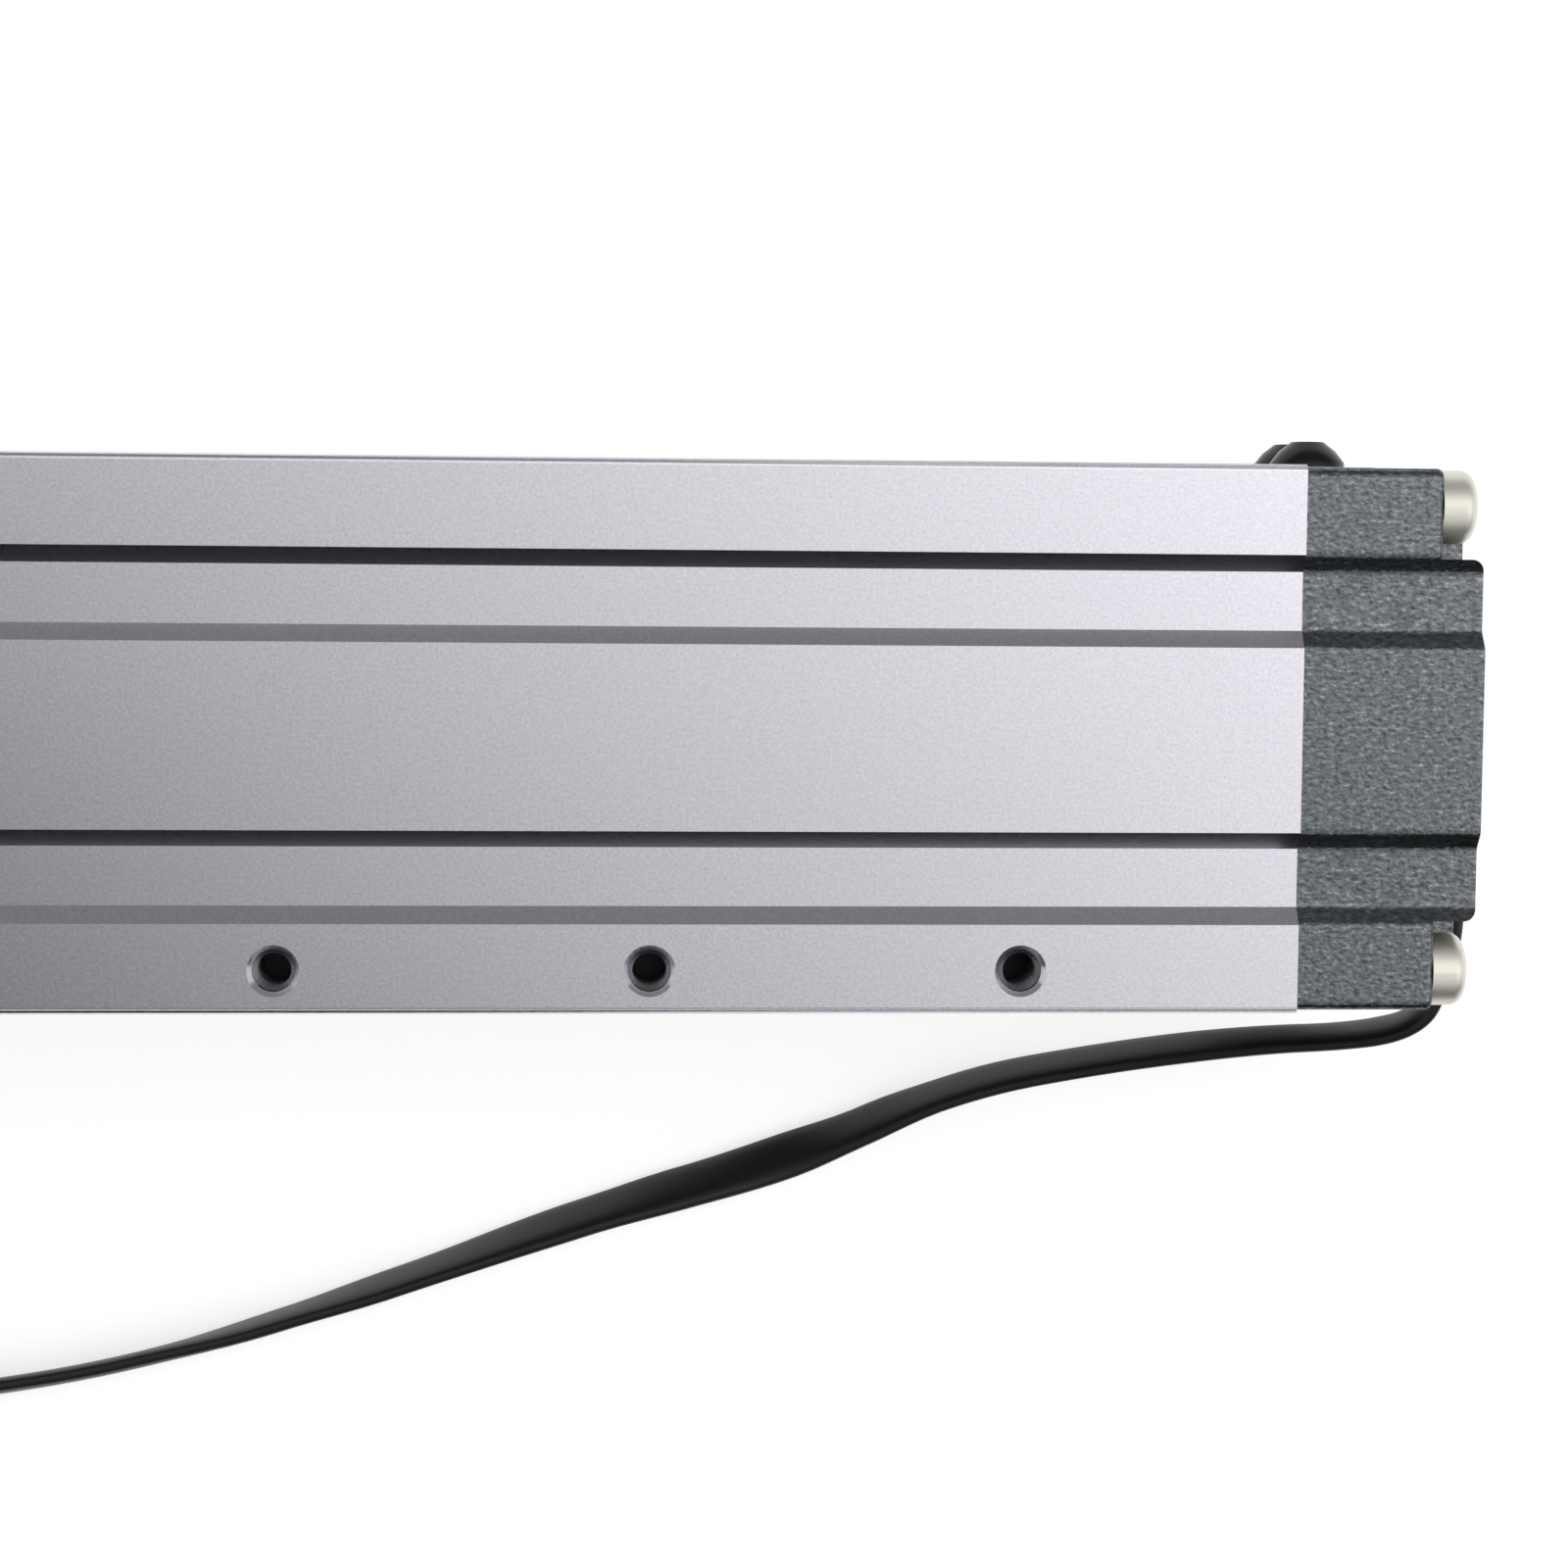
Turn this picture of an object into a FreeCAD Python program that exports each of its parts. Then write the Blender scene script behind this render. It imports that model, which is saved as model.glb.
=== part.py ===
"""Enclosed screw linear module, lying on one side face.

Millimetres. X runs along the module, with the motor and its cable at +X. Y points out of the side
on which the carriage runs. Z points up, and the module lies on the table at Z = 0. The origin is the
middle of the side face that it lies on.
"""
import FreeCAD, Part
import math
import os

V = FreeCAD.Vector

# Travel and the pieces in line along X
STROKE = 264.0
CARRIAGE_LENGTH = 40.0
IDLE_STOP_GAP = 2.0
DRIVE_STOP_GAP = 3.0
IDLE_BLOCK_LENGTH = 10.0
MOUNT_THICKNESS = 5.0
MOTOR_LENGTH = 40.0
END_MARGIN = 2.0
BLOCK_RISE = 1.0

# Motor, whose side sets the height of the channel
MOTOR_SIDE = 42.3
MOTOR_GAP = 0.85
MOTOR_CORNER = 4.0
STATOR_CORNER = 7.5
FLANGE_LENGTH = 8.0
BELL_LENGTH = 10.0
PILOT_DIAMETER = 22.0
PILOT_HEIGHT = 2.0
MOTOR_HOLE_SPACING = 31.0
ROTOR_DIAMETER = 27.2
ROTOR_GAP = 0.3
TIE_BOLT_HEAD = 1.6

# Screw and its three bearings
SCREW_DIAMETER = 10.0
JOURNAL_DIAMETER = 8.0
BEARING_DIAMETER = 16.0
BEARING_WIDTH = 5.0
RING_WALL = 1.3
BEARING_SHOULDER = 1.0
CIRCLIP_THICKNESS = 0.8
CIRCLIP_DIAMETER = 11.0

# Guide: rods in the side walls and grooved rollers on the carriage
ROD_DIAMETER = 6.0
ROD_COVER = 2.5
ROLLER_DIAMETER = 14.0
ROLLER_GROOVE_RADIUS = 5.0
ROLLER_WIDTH = 8.0
ROLLER_PLAY = 0.05
ROLLER_TO_CORE = 0.95
ROLLER_SPACING = 24.0
AXLE_DIAMETER = 5.0
AXLE_THREAD = 4.0
AXLE_HEAD_DIAMETER = 8.0
AXLE_HEAD_HEIGHT = 2.4
ROLLER_END_PLAY = 0.2

# Body extrusion
BASE_WALL = 4.0
SIDE_WALL = 4.5
LIP_THICKNESS = 3.0
BOSS_WIDTH = 8.0
BOSS_HEIGHT = 8.5
CENTRE_BAND = 17.5
GROOVE_FLOOR = 5.55
GROOVE_SLOPE = 1.6
GROOVE_DEPTH = 1.25
EDGE_RADIUS = 0.65

# Fasteners: M4 and M3 screws, with the tapped core as the hole in the metal
M4_DIAMETER = 4.0
M4_CORE = 3.3
M4_CLEAR = 4.4
M3_DIAMETER = 3.0
M3_CORE = 2.5
M3_CLEAR = 3.3
SIDE_HOLE_PITCH = 35.0
SIDE_HOLE_END = 20.0
SIDE_HOLE_INSET = 4.1
SIDE_HOLE_DEPTH = 6.4
DRILL_POINT = 118.0
SIDE_HOLE_MOUTH = 4.9
BASE_HOLE_MARGIN = 64.0
BASE_HOLE_SPACING = 36.0
CAP_SCREW_INSET = 3.85
CAP_SCREW_HEAD = 7.0
CAP_SCREW_HEAD_HEIGHT = 3.5
CAP_SCREW_EDGE = 1.3
CAP_SCREW_SOCKET = 3.0
CAP_SCREW_GRIP = 22.0
COUNTERSINK_DIAMETER = 6.0
BASE_SCREW_GRIP = 8.0
BASE_SCREW_MARGIN = 2.0

# Cover strip between the two slots
COVER_WIDTH = 28.0
COVER_THICKNESS = 2.3
COVER_PROUD = 0.3
COVER_OVERLAP = 11.0
COVER_SCREW_PLACE = 6.35
COVER_SCREW_SPACING = 8.0
BUTTON_DIAMETER = 7.6
BUTTON_HEIGHT = 2.8
BUTTON_FLAT = 3.3
BUTTON_RIM = 0.65
BUTTON_BULGE = 2.97
BUTTON_SHOULDER = 1.75
COVER_SCREW_GRIP = 6.0
SEAL_HEIGHT = 1.6
SEAL_GAP = 0.3

# End caps
CAP_LENGTH = 17.4
CAP_STEP = 4.2
CAP_INSET = 0.25
CAP_POCKET = 8.8
CAP_ARM_INSET = 1.5
CAP_EDGE_RADIUS = 0.6
CAP_CORNER_RADIUS = 1.0
CAP_GROOVE_RADIUS = 1.0
CAP_BLOCK_RADIUS = 1.4
CAP_WALL = 3.0
CAP_ROOM_WIDTH = 39.0
CAP_ROOM_TOP = 15.5
CAP_ROOM_BOTTOM = 18.0
SEAT_GAP = 0.2

# Control board in the drive cap, home sensor and its ribbon
BOARD_THICKNESS = 1.6
BOARD_MARGIN = 1.0
BOARD_STANDOFF = 4.0
BOARD_SCREW_INSET = 3.5
BOARD_SCREW_HEAD = 5.0
PILLAR_DIAMETER = 6.0
PILLAR_FLOOR = 1.0
CHIP_SIDE = 8.0
SENSOR_LENGTH = 10.0
SENSOR_ARM = 3.0
SENSOR_SLOT = 3.2
SENSOR_BASE = 3.0
SENSOR_HEIGHT = 8.0
RIBBON_WIDTH = 6.0
RIBBON_THICKNESS = 0.3
FLAG_THICKNESS = 1.0
FLAG_LENGTH = 9.0
FLAG_DIP = 6.0
FLAG_FOOT = 4.0

# Carriage and slider plate
CORE_WIDTH = 21.0
CORE_DROP = 10.5
BRIDGE_BOTTOM = 12.5
BRIDGE_TOP = 18.0
BRIDGE_MARGIN = 3.55
ARM_THICKNESS = 4.0
ARM_GAP = 1.25
ARM_RADIUS = 1.5
PLATE_LENGTH = 66.0
PLATE_WIDTH = 60.0
PLATE_THICKNESS = 8.0
PLATE_GAP = 1.0
PLATE_CORNER = 4.0
PLATE_EDGE = 0.8
PAYLOAD_SPACING = 40.0
PLATE_SCREW_SPACING = 26.0
PLATE_SCREW_HEAD_HEIGHT = 4.0
PLATE_SCREW_GRIP = 6.0
NUT_DIAMETER = 14.0
NUT_FLANGE = 22.0
NUT_FLANGE_WIDTH = 20.0
NUT_FLANGE_THICKNESS = 4.0
NUT_BARREL = 24.0
NUT_SUNK = 1.0
NUT_SCREW_CIRCLE = 18.0
NUT_SCREW_HEAD = 4.6
NUT_SCREW_HEAD_HEIGHT = 2.0
NUT_SCREW_GRIP = 6.0
BUMPER_DIAMETER = 5.0
BUMPER_SPACING = 24.0
BUMPER_CLEARANCE = 0.4

# Fits
FIT = 0.02
RUN = 0.05
SIDE_CLEARANCE = 0.2

# Flat cable: the tube's bore, its gland, route, coil, tie and plug
CABLE_DIAMETER = 3.6
CABLE_EXIT_Y = -12.0
CABLE_EXIT_Z = 26.0
GROMMET_WIDTH = 9.0
GROMMET_HEIGHT = 5.0
GROMMET_PROUD = 1.5
SLOT_WIDTH = 6.4
SLOT_HEIGHT = 2.6
COIL_CENTRE = (12.0, -115.4)
COIL_OUTER = 38.2
COIL_INNER = 28.4
COIL_BOTTOM = 0.8
COIL_TOP = 7.2
COIL_LEAD = 14.0
COIL_HEIGHT = 3.9
TIE_WIDTH = 11.0
TIE_THICKNESS = 0.6
TIE_GAP = 0.1
TIE_ANGLE = 205.0
PLUG_LENGTH = 20.0
PLUG_WIDTH = 8.4
PLUG_HEIGHT = 7.4
PLUG_ANGLE = 300.0
PLUG_EDGE = 0.75
PLUG_GAP = 0.3
CABLE_LEAD = 3.0
CABLE_ROUTE = (
    (208.5, -14.2, 25.8),
    (209.8, -18.4, 25.2),
    (209.7, -23.6, 24.5),
    (209.0, -28.6, 23.4),
    (207.2, -33.2, 21.6),
    (201.4, -35.2, 18.2),
    (190.5, -36.5, 12.8),
    (176.0, -39.1, 7.8),
    (158.5, -42.8, 4.9),
    (140.5, -51.3, 3.2),
    (117.0, -57.9, 2.8),
    (93.0, -66.5, 3.0),
    (67.0, -74.6, 3.1),
    (44.0, -78.2, 3.5),
)

# Places that follow from the sizes above
AXLE_OFFSET = CORE_WIDTH / 2 + ROLLER_TO_CORE + ROLLER_DIAMETER / 2
ROD_OFFSET = AXLE_OFFSET + ROLLER_GROOVE_RADIUS + ROLLER_PLAY + ROD_DIAMETER / 2
HALF_WIDTH = ROD_OFFSET + ROD_DIAMETER / 2 + ROD_COVER
HALF_HEIGHT = MOTOR_SIDE / 2 + MOTOR_GAP + BASE_WALL
AXIS_Z = HALF_WIDTH
CHANNEL_BASE = -HALF_HEIGHT + BASE_WALL
CHANNEL_HALF = HALF_WIDTH - SIDE_WALL
LIP_BOTTOM = HALF_HEIGHT - LIP_THICKNESS
ARM_INNER = COVER_WIDTH / 2 + ARM_GAP
ARM_OUTER = ARM_INNER + ARM_THICKNESS
MOUTH_HALF = ARM_OUTER + ARM_GAP
BODY_LENGTH = (
    END_MARGIN + IDLE_BLOCK_LENGTH + IDLE_STOP_GAP + CARRIAGE_LENGTH + STROKE
    + DRIVE_STOP_GAP + MOUNT_THICKNESS + MOTOR_LENGTH + END_MARGIN
)
BODY_END = BODY_LENGTH / 2
CAP_END = BODY_END + CAP_LENGTH
CAP_LOW_END = CAP_END - CAP_STEP
BLOCK_START = -BODY_END + END_MARGIN
BLOCK_END = BLOCK_START + IDLE_BLOCK_LENGTH
MOTOR_END = BODY_END - END_MARGIN
MOTOR_START = MOTOR_END - MOTOR_LENGTH
MOUNT_START = MOTOR_START - MOUNT_THICKNESS
CARRIAGE_X = BLOCK_END + IDLE_STOP_GAP + CARRIAGE_LENGTH / 2 + STROKE / 2
PLATE_BOTTOM = HALF_HEIGHT + PLATE_GAP
PLATE_TOP = PLATE_BOTTOM + PLATE_THICKNESS
COVER_TOP = HALF_HEIGHT + COVER_PROUD
COVER_BOTTOM = COVER_TOP - COVER_THICKNESS
BLOCK_TOP = BRIDGE_TOP + BLOCK_RISE
SIDES = (1, -1)


def box(x, y, w):
    """A block between pairs of limits along X, along Y and across the module from its axis."""
    corner = V(x[0], y[0], AXIS_Z + w[0])
    return Part.makeBox(x[1] - x[0], y[1] - y[0], w[1] - w[0], corner)


def bar(x, diameter, y=0.0, w=0.0):
    """A round bar along X."""
    return Part.makeCylinder(diameter / 2, x[1] - x[0], V(x[0], y, AXIS_Z + w), V(1, 0, 0))


def post(y, diameter, x, w):
    """A round bar along Y."""
    return Part.makeCylinder(diameter / 2, y[1] - y[0], V(x, y[0], AXIS_Z + w), V(0, 1, 0))


def cone(y, diameters, x, w):
    """A cone along Y, with its diameters at the two limits."""
    start = V(x, y[0], AXIS_Z + w)
    return Part.makeCone(diameters[0] / 2, diameters[1] / 2, y[1] - y[0], start, V(0, 1, 0))


def prism(outline, x):
    """An outline of (y, w) points, extruded between two limits along X."""
    points = [V(x[0], y, AXIS_Z + w) for y, w in outline]
    face = Part.Face(Part.makePolygon(points + points[:1]))
    return face.extrude(V(x[1] - x[0], 0, 0))


def joined(shapes):
    """Solids fused into one, with the seams between flat faces removed."""
    return shapes[0].multiFuse(shapes[1:]).removeSplitter()


def rounded(shape, radius, chosen):
    """A shape with the edges filleted for which chosen(edge) is true."""
    return shape.makeFillet(radius, [edge for edge in shape.Edges if chosen(edge)])


def along(edge, axis):
    """Whether a straight edge runs along an axis."""
    ends = edge.Vertexes
    if len(ends) != 2 or not isinstance(edge.Curve, Part.Line):
        return False
    run = ends[1].Point - ends[0].Point
    return abs(run.dot(axis)) > 0.999 * run.Length


def mirrored(shape):
    """A shape mirrored to the other end of the module."""
    return shape.mirror(V(0, 0, 0), V(1, 0, 0))


def side_outline(inset=0.0):
    """The outer section of the module as (y, w) points, with two grooves on each side face."""
    half, wide = HALF_HEIGHT - inset, HALF_WIDTH - inset
    inner = CENTRE_BAND / 2
    floor = inner + GROOVE_SLOPE
    wall = floor + GROOVE_FLOOR
    outer = wall + GROOVE_SLOPE
    low = wide - GROOVE_DEPTH
    upper = [(half, wide), (outer, wide), (wall, low), (floor, low), (inner, wide)]
    face = upper + [(-y, w) for y, w in reversed(upper)]
    return face + [(y, -w) for y, w in reversed(face)]


def channel_outline(gap=0.0):
    """The inner section of the channel, below its lips, narrowed by a gap at the sides."""
    boss, step = HALF_WIDTH - BOSS_WIDTH - gap, HALF_HEIGHT - BOSS_HEIGHT - gap
    half = CHANNEL_HALF - gap
    low = [(CHANNEL_BASE, boss), (-step, boss), (-step, half)]
    side = low + [(step, half), (step, boss), (LIP_BOTTOM, boss)]
    return side + [(y, -w) for y, w in reversed(side)]


def side_hole_places():
    """Where the threaded holes of the side face are along X, centred on the body."""
    count = int((BODY_LENGTH - 2 * SIDE_HOLE_END) // SIDE_HOLE_PITCH) + 1
    first = -(count - 1) * SIDE_HOLE_PITCH / 2
    return [first + i * SIDE_HOLE_PITCH for i in range(count)]


def corner_places():
    """The (y, w) places of the four cap screws."""
    y, w = HALF_HEIGHT - CAP_SCREW_INSET, HALF_WIDTH - CAP_SCREW_INSET
    return [(a * y, b * w) for a in SIDES for b in SIDES]


def base_screw_places():
    """The (x, w) places of the screws that hold the motor mount and the bearing block."""
    w = HALF_WIDTH - BOSS_WIDTH - BASE_SCREW_MARGIN
    mount = MOUNT_START + MOUNT_THICKNESS / 2
    block = BLOCK_START + IDLE_BLOCK_LENGTH / 2
    return [(mount, w), (mount, -w)], [(block, w), (block, -w)]


def edges_at(shape, places):
    """The edges along X at the given places of the outer section, on both sides of the axis."""
    chosen = []
    for edge in shape.Edges:
        centre = edge.CenterOfMass
        at = [abs(abs(centre.y) - y) < FIT and abs(abs(centre.z - AXIS_Z) - w) < FIT for y, w in places]
        if along(edge, V(1, 0, 0)) and any(at):
            chosen.append(edge)
    return chosen


def body_extrusion():
    """The U-channel with grooved sides, rod seats, screw bosses, lips and threaded holes."""
    ends = (-BODY_END, BODY_END)
    body = prism(side_outline(), ends)
    body = body.makeFillet(EDGE_RADIUS, edges_at(body, [(HALF_HEIGHT, HALF_WIDTH)]))
    cuts = [prism(channel_outline(), ends)]
    cuts.append(box(ends, (LIP_BOTTOM, HALF_HEIGHT + LIP_THICKNESS), (-MOUTH_HALF, MOUTH_HALF)))
    for side in SIDES:
        cuts.append(bar(ends, ROD_DIAMETER + 2 * FIT, 0, side * ROD_OFFSET))
    depth = CAP_SCREW_GRIP - (CAP_LENGTH - CAP_STEP) + M4_DIAMETER
    for y, w in corner_places():
        for end in SIDES:
            limits = sorted((end * BODY_END, end * (BODY_END - depth)))
            cuts.append(bar(limits, M4_CORE, y, w))
    hole_y = -HALF_HEIGHT + SIDE_HOLE_INSET
    top = AXIS_Z + HALF_WIDTH
    mouth = (SIDE_HOLE_MOUTH - M4_CORE) / 2
    point = M4_CORE / 2 / math.tan(math.radians(DRILL_POINT / 2))
    for x in side_hole_places():
        down = V(0, 0, -1)
        cuts.append(Part.makeCylinder(M4_CORE / 2, SIDE_HOLE_DEPTH, V(x, hole_y, top), down))
        bottom = V(x, hole_y, top - SIDE_HOLE_DEPTH)
        cuts.append(Part.makeCone(M4_CORE / 2, 0, point, bottom, down))
        cuts.append(Part.makeCone(SIDE_HOLE_MOUTH / 2, M4_CORE / 2, mouth, V(x, hole_y, top), down))
    wall = (-HALF_HEIGHT, CHANNEL_BASE)
    for group in base_screw_places():
        for x, w in group:
            sink = (COUNTERSINK_DIAMETER - M3_CLEAR) / 2
            cuts.append(post(wall, M3_CLEAR, x, w))
            cuts.append(cone((wall[0], wall[0] + sink), (COUNTERSINK_DIAMETER, M3_CLEAR), x, w))
    for end in SIDES:
        for side in SIDES:
            place = end * (BODY_END - BASE_HOLE_MARGIN)
            cuts.append(post(wall, M4_CORE, place, side * BASE_HOLE_SPACING / 2))
    return body.cut(cuts)


def cap_blank():
    """The cap at the drive end before its cable slot: a grooved shell with four corner pockets."""
    cap = prism(side_outline(CAP_INSET), (BODY_END, CAP_END))
    wide = HALF_WIDTH - CAP_INSET
    inner, low = CENTRE_BAND / 2, wide - GROOVE_DEPTH
    floor = inner + GROOVE_SLOPE
    wall = floor + GROOVE_FLOOR
    groove = [(inner, wide), (floor, low), (wall, low), (wall + GROOVE_SLOPE, wide)]
    cap = cap.makeFillet(CAP_GROOVE_RADIUS, edges_at(cap, groove))
    cap = cap.makeFillet(CAP_CORNER_RADIUS, edges_at(cap, [(HALF_HEIGHT - CAP_INSET, wide)]))
    inner_y, inner_w = HALF_HEIGHT - CAP_POCKET, HALF_WIDTH - CAP_POCKET
    pockets = []
    for a in SIDES:
        for b in SIDES:
            y = sorted((a * inner_y, a * (HALF_HEIGHT + CAP_POCKET)))
            w = sorted((b * inner_w, b * (HALF_WIDTH + CAP_POCKET)))
            pockets.append(box((CAP_LOW_END, CAP_END + CAP_STEP), y, w))
        rim = sorted((a * (HALF_HEIGHT - CAP_ARM_INSET), a * (HALF_HEIGHT + CAP_POCKET)))
        pockets.append(box((CAP_LOW_END, CAP_END + CAP_STEP), rim, (-HALF_WIDTH, HALF_WIDTH)))
    cap = cap.cut(pockets)

    def is_block_end(edge):
        place = edge.CenterOfMass
        across = along(edge, V(0, 0, 1)) and abs(abs(place.y) - inner_y) < FIT
        return across and abs(place.x - CAP_END) < FIT

    cap = rounded(cap, CAP_BLOCK_RADIUS, is_block_end)

    def is_outer_end(edge):
        place = edge.CenterOfMass
        low = abs(place.x - CAP_LOW_END) < FIT
        inset = CAP_INSET + CAP_CORNER_RADIUS / 2
        rim_y, rim_w = HALF_HEIGHT - inset, HALF_WIDTH - inset
        at_rim = abs(place.y) > rim_y or abs(place.z - AXIS_Z) > rim_w
        return low and at_rim and abs(place.y) > inner_y + GROOVE_SLOPE

    cap = rounded(cap, CAP_EDGE_RADIUS, is_outer_end)
    room = (BODY_END, CAP_END - CAP_WALL)
    half = CAP_ROOM_WIDTH / 2
    cuts = [box(room, (-CAP_ROOM_BOTTOM, CAP_ROOM_TOP), (-half, half))]
    seat = COVER_WIDTH / 2 + SEAT_GAP
    seat_x = (BODY_END, BODY_END + COVER_OVERLAP + SEAT_GAP)
    cuts.append(box(seat_x, (COVER_BOTTOM, HALF_HEIGHT + COVER_THICKNESS), (-seat, seat)))
    for y, w in corner_places():
        cuts.append(bar((BODY_END, CAP_END), M4_CLEAR, y, w))
    for side in SIDES:
        depth = (COVER_BOTTOM - COVER_SCREW_GRIP, COVER_BOTTOM)
        cuts.append(post(depth, M4_CORE, BODY_END + COVER_SCREW_PLACE, side * COVER_SCREW_SPACING / 2))
    return cap.cut(cuts)


def oblong(x, width, height):
    """A slot-shaped bar along X at the cable's exit, as wide across as the flat cable stands high."""
    radius = height / 2
    reach = width / 2 - radius
    low = CABLE_EXIT_Z - AXIS_Z
    ends = [bar(x, height, CABLE_EXIT_Y, low + side * reach) for side in SIDES]
    middle = box(x, (CABLE_EXIT_Y - radius, CABLE_EXIT_Y + radius), (low - reach, low + reach))
    return joined([middle] + ends)


def end_cap_drive():
    """The cap at the motor's end, with a slot for the cable."""
    wall = (CAP_END - CAP_WALL, CAP_END)
    return cap_blank().cut(oblong(wall, SLOT_WIDTH + 2 * FIT, SLOT_HEIGHT + 2 * FIT))


def cap_screws():
    """Four round-edged screws at the drive end, each with its socket."""
    screws = []
    for y, w in corner_places():
        head_top = CAP_LOW_END + CAP_SCREW_HEAD_HEIGHT
        head = bar((CAP_LOW_END, head_top), CAP_SCREW_HEAD, y, w)
        rim = [e for e in head.Edges if abs(e.CenterOfMass.x - head_top) < FIT]
        head = head.makeFillet(CAP_SCREW_EDGE, rim)
        shank = bar((CAP_LOW_END - CAP_SCREW_GRIP, CAP_LOW_END), M4_CORE - 2 * FIT, y, w)
        socket = hexagon((head_top - CAP_SCREW_HEAD_HEIGHT / 2, head_top), CAP_SCREW_SOCKET, y, w)
        screws.append(joined([head, shank]).cut(socket))
    return Part.makeCompound(screws)


def hexagon(x, across, y, w):
    """A six-sided bar along X, with its width across flats."""
    radius = across / math.sqrt(3)
    turns = [math.radians(60 * i) for i in range(6)]
    return prism([(y + radius * math.cos(a), w + radius * math.sin(a)) for a in turns], x)


def top_cover():
    """The cover strip, with its screw holes."""
    reach = BODY_END + COVER_OVERLAP
    half = COVER_WIDTH / 2
    strip = box((-reach, reach), (COVER_BOTTOM, COVER_TOP), (-half, half))

    def is_top_edge(edge):
        return along(edge, V(1, 0, 0)) and edge.CenterOfMass.y > COVER_TOP - FIT

    strip = strip.makeChamfer(COVER_PROUD, [e for e in strip.Edges if is_top_edge(e)])
    holes = [post((COVER_BOTTOM, COVER_TOP), M4_CLEAR, x, w) for x, w in cover_screw_places()]
    return strip.cut(holes)


def cover_screw_places():
    """The (x, w) places of the cover's screws, a pair at each end."""
    x = BODY_END + COVER_SCREW_PLACE
    return [(end * x, side * COVER_SCREW_SPACING / 2) for end in SIDES for side in SIDES]


def cover_screws():
    """Black button-head screws, two at each end of the cover."""
    screws = []
    radius, flat = BUTTON_DIAMETER / 2, BUTTON_FLAT / 2
    for x, w in cover_screw_places():
        z = AXIS_Z + w
        start = V(x + radius, COVER_TOP, z)
        low = V(x + radius, COVER_TOP + BUTTON_RIM, z)
        bulge = V(x + BUTTON_BULGE, COVER_TOP + BUTTON_SHOULDER, z)
        high = V(x + flat, COVER_TOP + BUTTON_HEIGHT, z)
        top, foot = V(x, COVER_TOP + BUTTON_HEIGHT, z), V(x, COVER_TOP, z)
        dome = Part.Arc(low, bulge, high).toShape()
        lines = [(high, top), (top, foot), (foot, start), (start, low)]
        outline = Part.Wire([dome] + [Part.LineSegment(a, b).toShape() for a, b in lines])
        head = Part.Face(outline).revolve(foot, V(0, 1, 0), 360)
        grip = (COVER_BOTTOM - COVER_SCREW_GRIP + M4_CORE / 2, COVER_TOP)
        screws.append(joined([head, post(grip, M4_CORE - 2 * FIT, x, w)]))
    return Part.makeCompound(screws)


def slot_seals():
    """Two lips along the slots, on the edges of the body's mouth."""
    seals = []
    middle = HALF_HEIGHT - LIP_THICKNESS / 2
    y = (middle - SEAL_HEIGHT / 2, middle + SEAL_HEIGHT / 2)
    for side in SIDES:
        w = sorted((side * (ARM_OUTER + SEAL_GAP), side * MOUTH_HALF))
        seals.append(box((-BODY_END, BODY_END), y, w))
    return Part.makeCompound(seals)


def guide_rod(side):
    """One hardened rod, seated in its side wall between the bearing block and the motor mount."""
    return bar((BLOCK_END, MOUNT_START), ROD_DIAMETER, 0, side * ROD_OFFSET)


def channel_plate(x):
    """A plate that fills the channel's section up to the height of the carriage's bridge."""
    plate = prism(channel_outline(SIDE_CLEARANCE), x)
    return plate.cut(box(x, (BLOCK_TOP, HALF_HEIGHT), (-HALF_WIDTH, HALF_WIDTH)))


def motor_mount():
    """The plate between screw and motor, with the motor's pilot hole and a way for the ribbon."""
    x = (MOUNT_START, MOTOR_START)
    cuts = [bar(x, PILOT_DIAMETER + 2 * FIT)]
    for y, w in motor_hole_places():
        cuts.append(bar(x, M3_CLEAR, y, w))
        cuts.append(bar((x[0], x[0] + M3_DIAMETER), 2 * M3_DIAMETER + 2 * SIDE_CLEARANCE, y, w))
    for place, w in base_screw_places()[0]:
        cuts.append(post((CHANNEL_BASE, CHANNEL_BASE + BASE_SCREW_GRIP), M3_CORE, place, w))
    cuts.append(box(x, (CHANNEL_BASE, CHANNEL_BASE + 2 * RIBBON_THICKNESS), ribbon_width(SIDE_CLEARANCE)))
    return channel_plate(x).cut(cuts)


def motor_hole_places():
    """The (y, w) places of the motor's four fixing screws."""
    half = MOTOR_HOLE_SPACING / 2
    return [(a * half, b * half) for a in SIDES for b in SIDES]


def base_screws(group):
    """Countersunk screws through the base, flush with its outside."""
    screws = []
    sink = (COUNTERSINK_DIAMETER - M3_CLEAR) / 2
    bottom = -HALF_HEIGHT
    for x, w in base_screw_places()[group]:
        head = cone((bottom, bottom + sink), (COUNTERSINK_DIAMETER - 2 * RUN, M3_CLEAR - 2 * RUN), x, w)
        shank = post((bottom + sink, CHANNEL_BASE), M3_DIAMETER, x, w)
        thread = post((CHANNEL_BASE, CHANNEL_BASE + BASE_SCREW_GRIP - FIT), M3_CORE - 2 * FIT, x, w)
        screws.append(joined([head, shank, thread]))
    return Part.makeCompound(screws)


def square_bar(x, corner):
    """A length of the motor's square section with its corners cut off."""
    half = MOTOR_SIDE / 2
    near = half - corner
    side = [(near, half), (-near, half), (-half, near), (-half, -near)]
    return prism(side + [(-y, -w) for y, w in side], x)


def bearing_places():
    """The X limits of the front, rear and idle bearings."""
    front = MOTOR_START + BEARING_SHOULDER
    rear = MOTOR_END - BELL_LENGTH + BEARING_SHOULDER
    idle = BLOCK_START + BEARING_SHOULDER
    return [(x, x + BEARING_WIDTH) for x in (front, rear, idle)]


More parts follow.
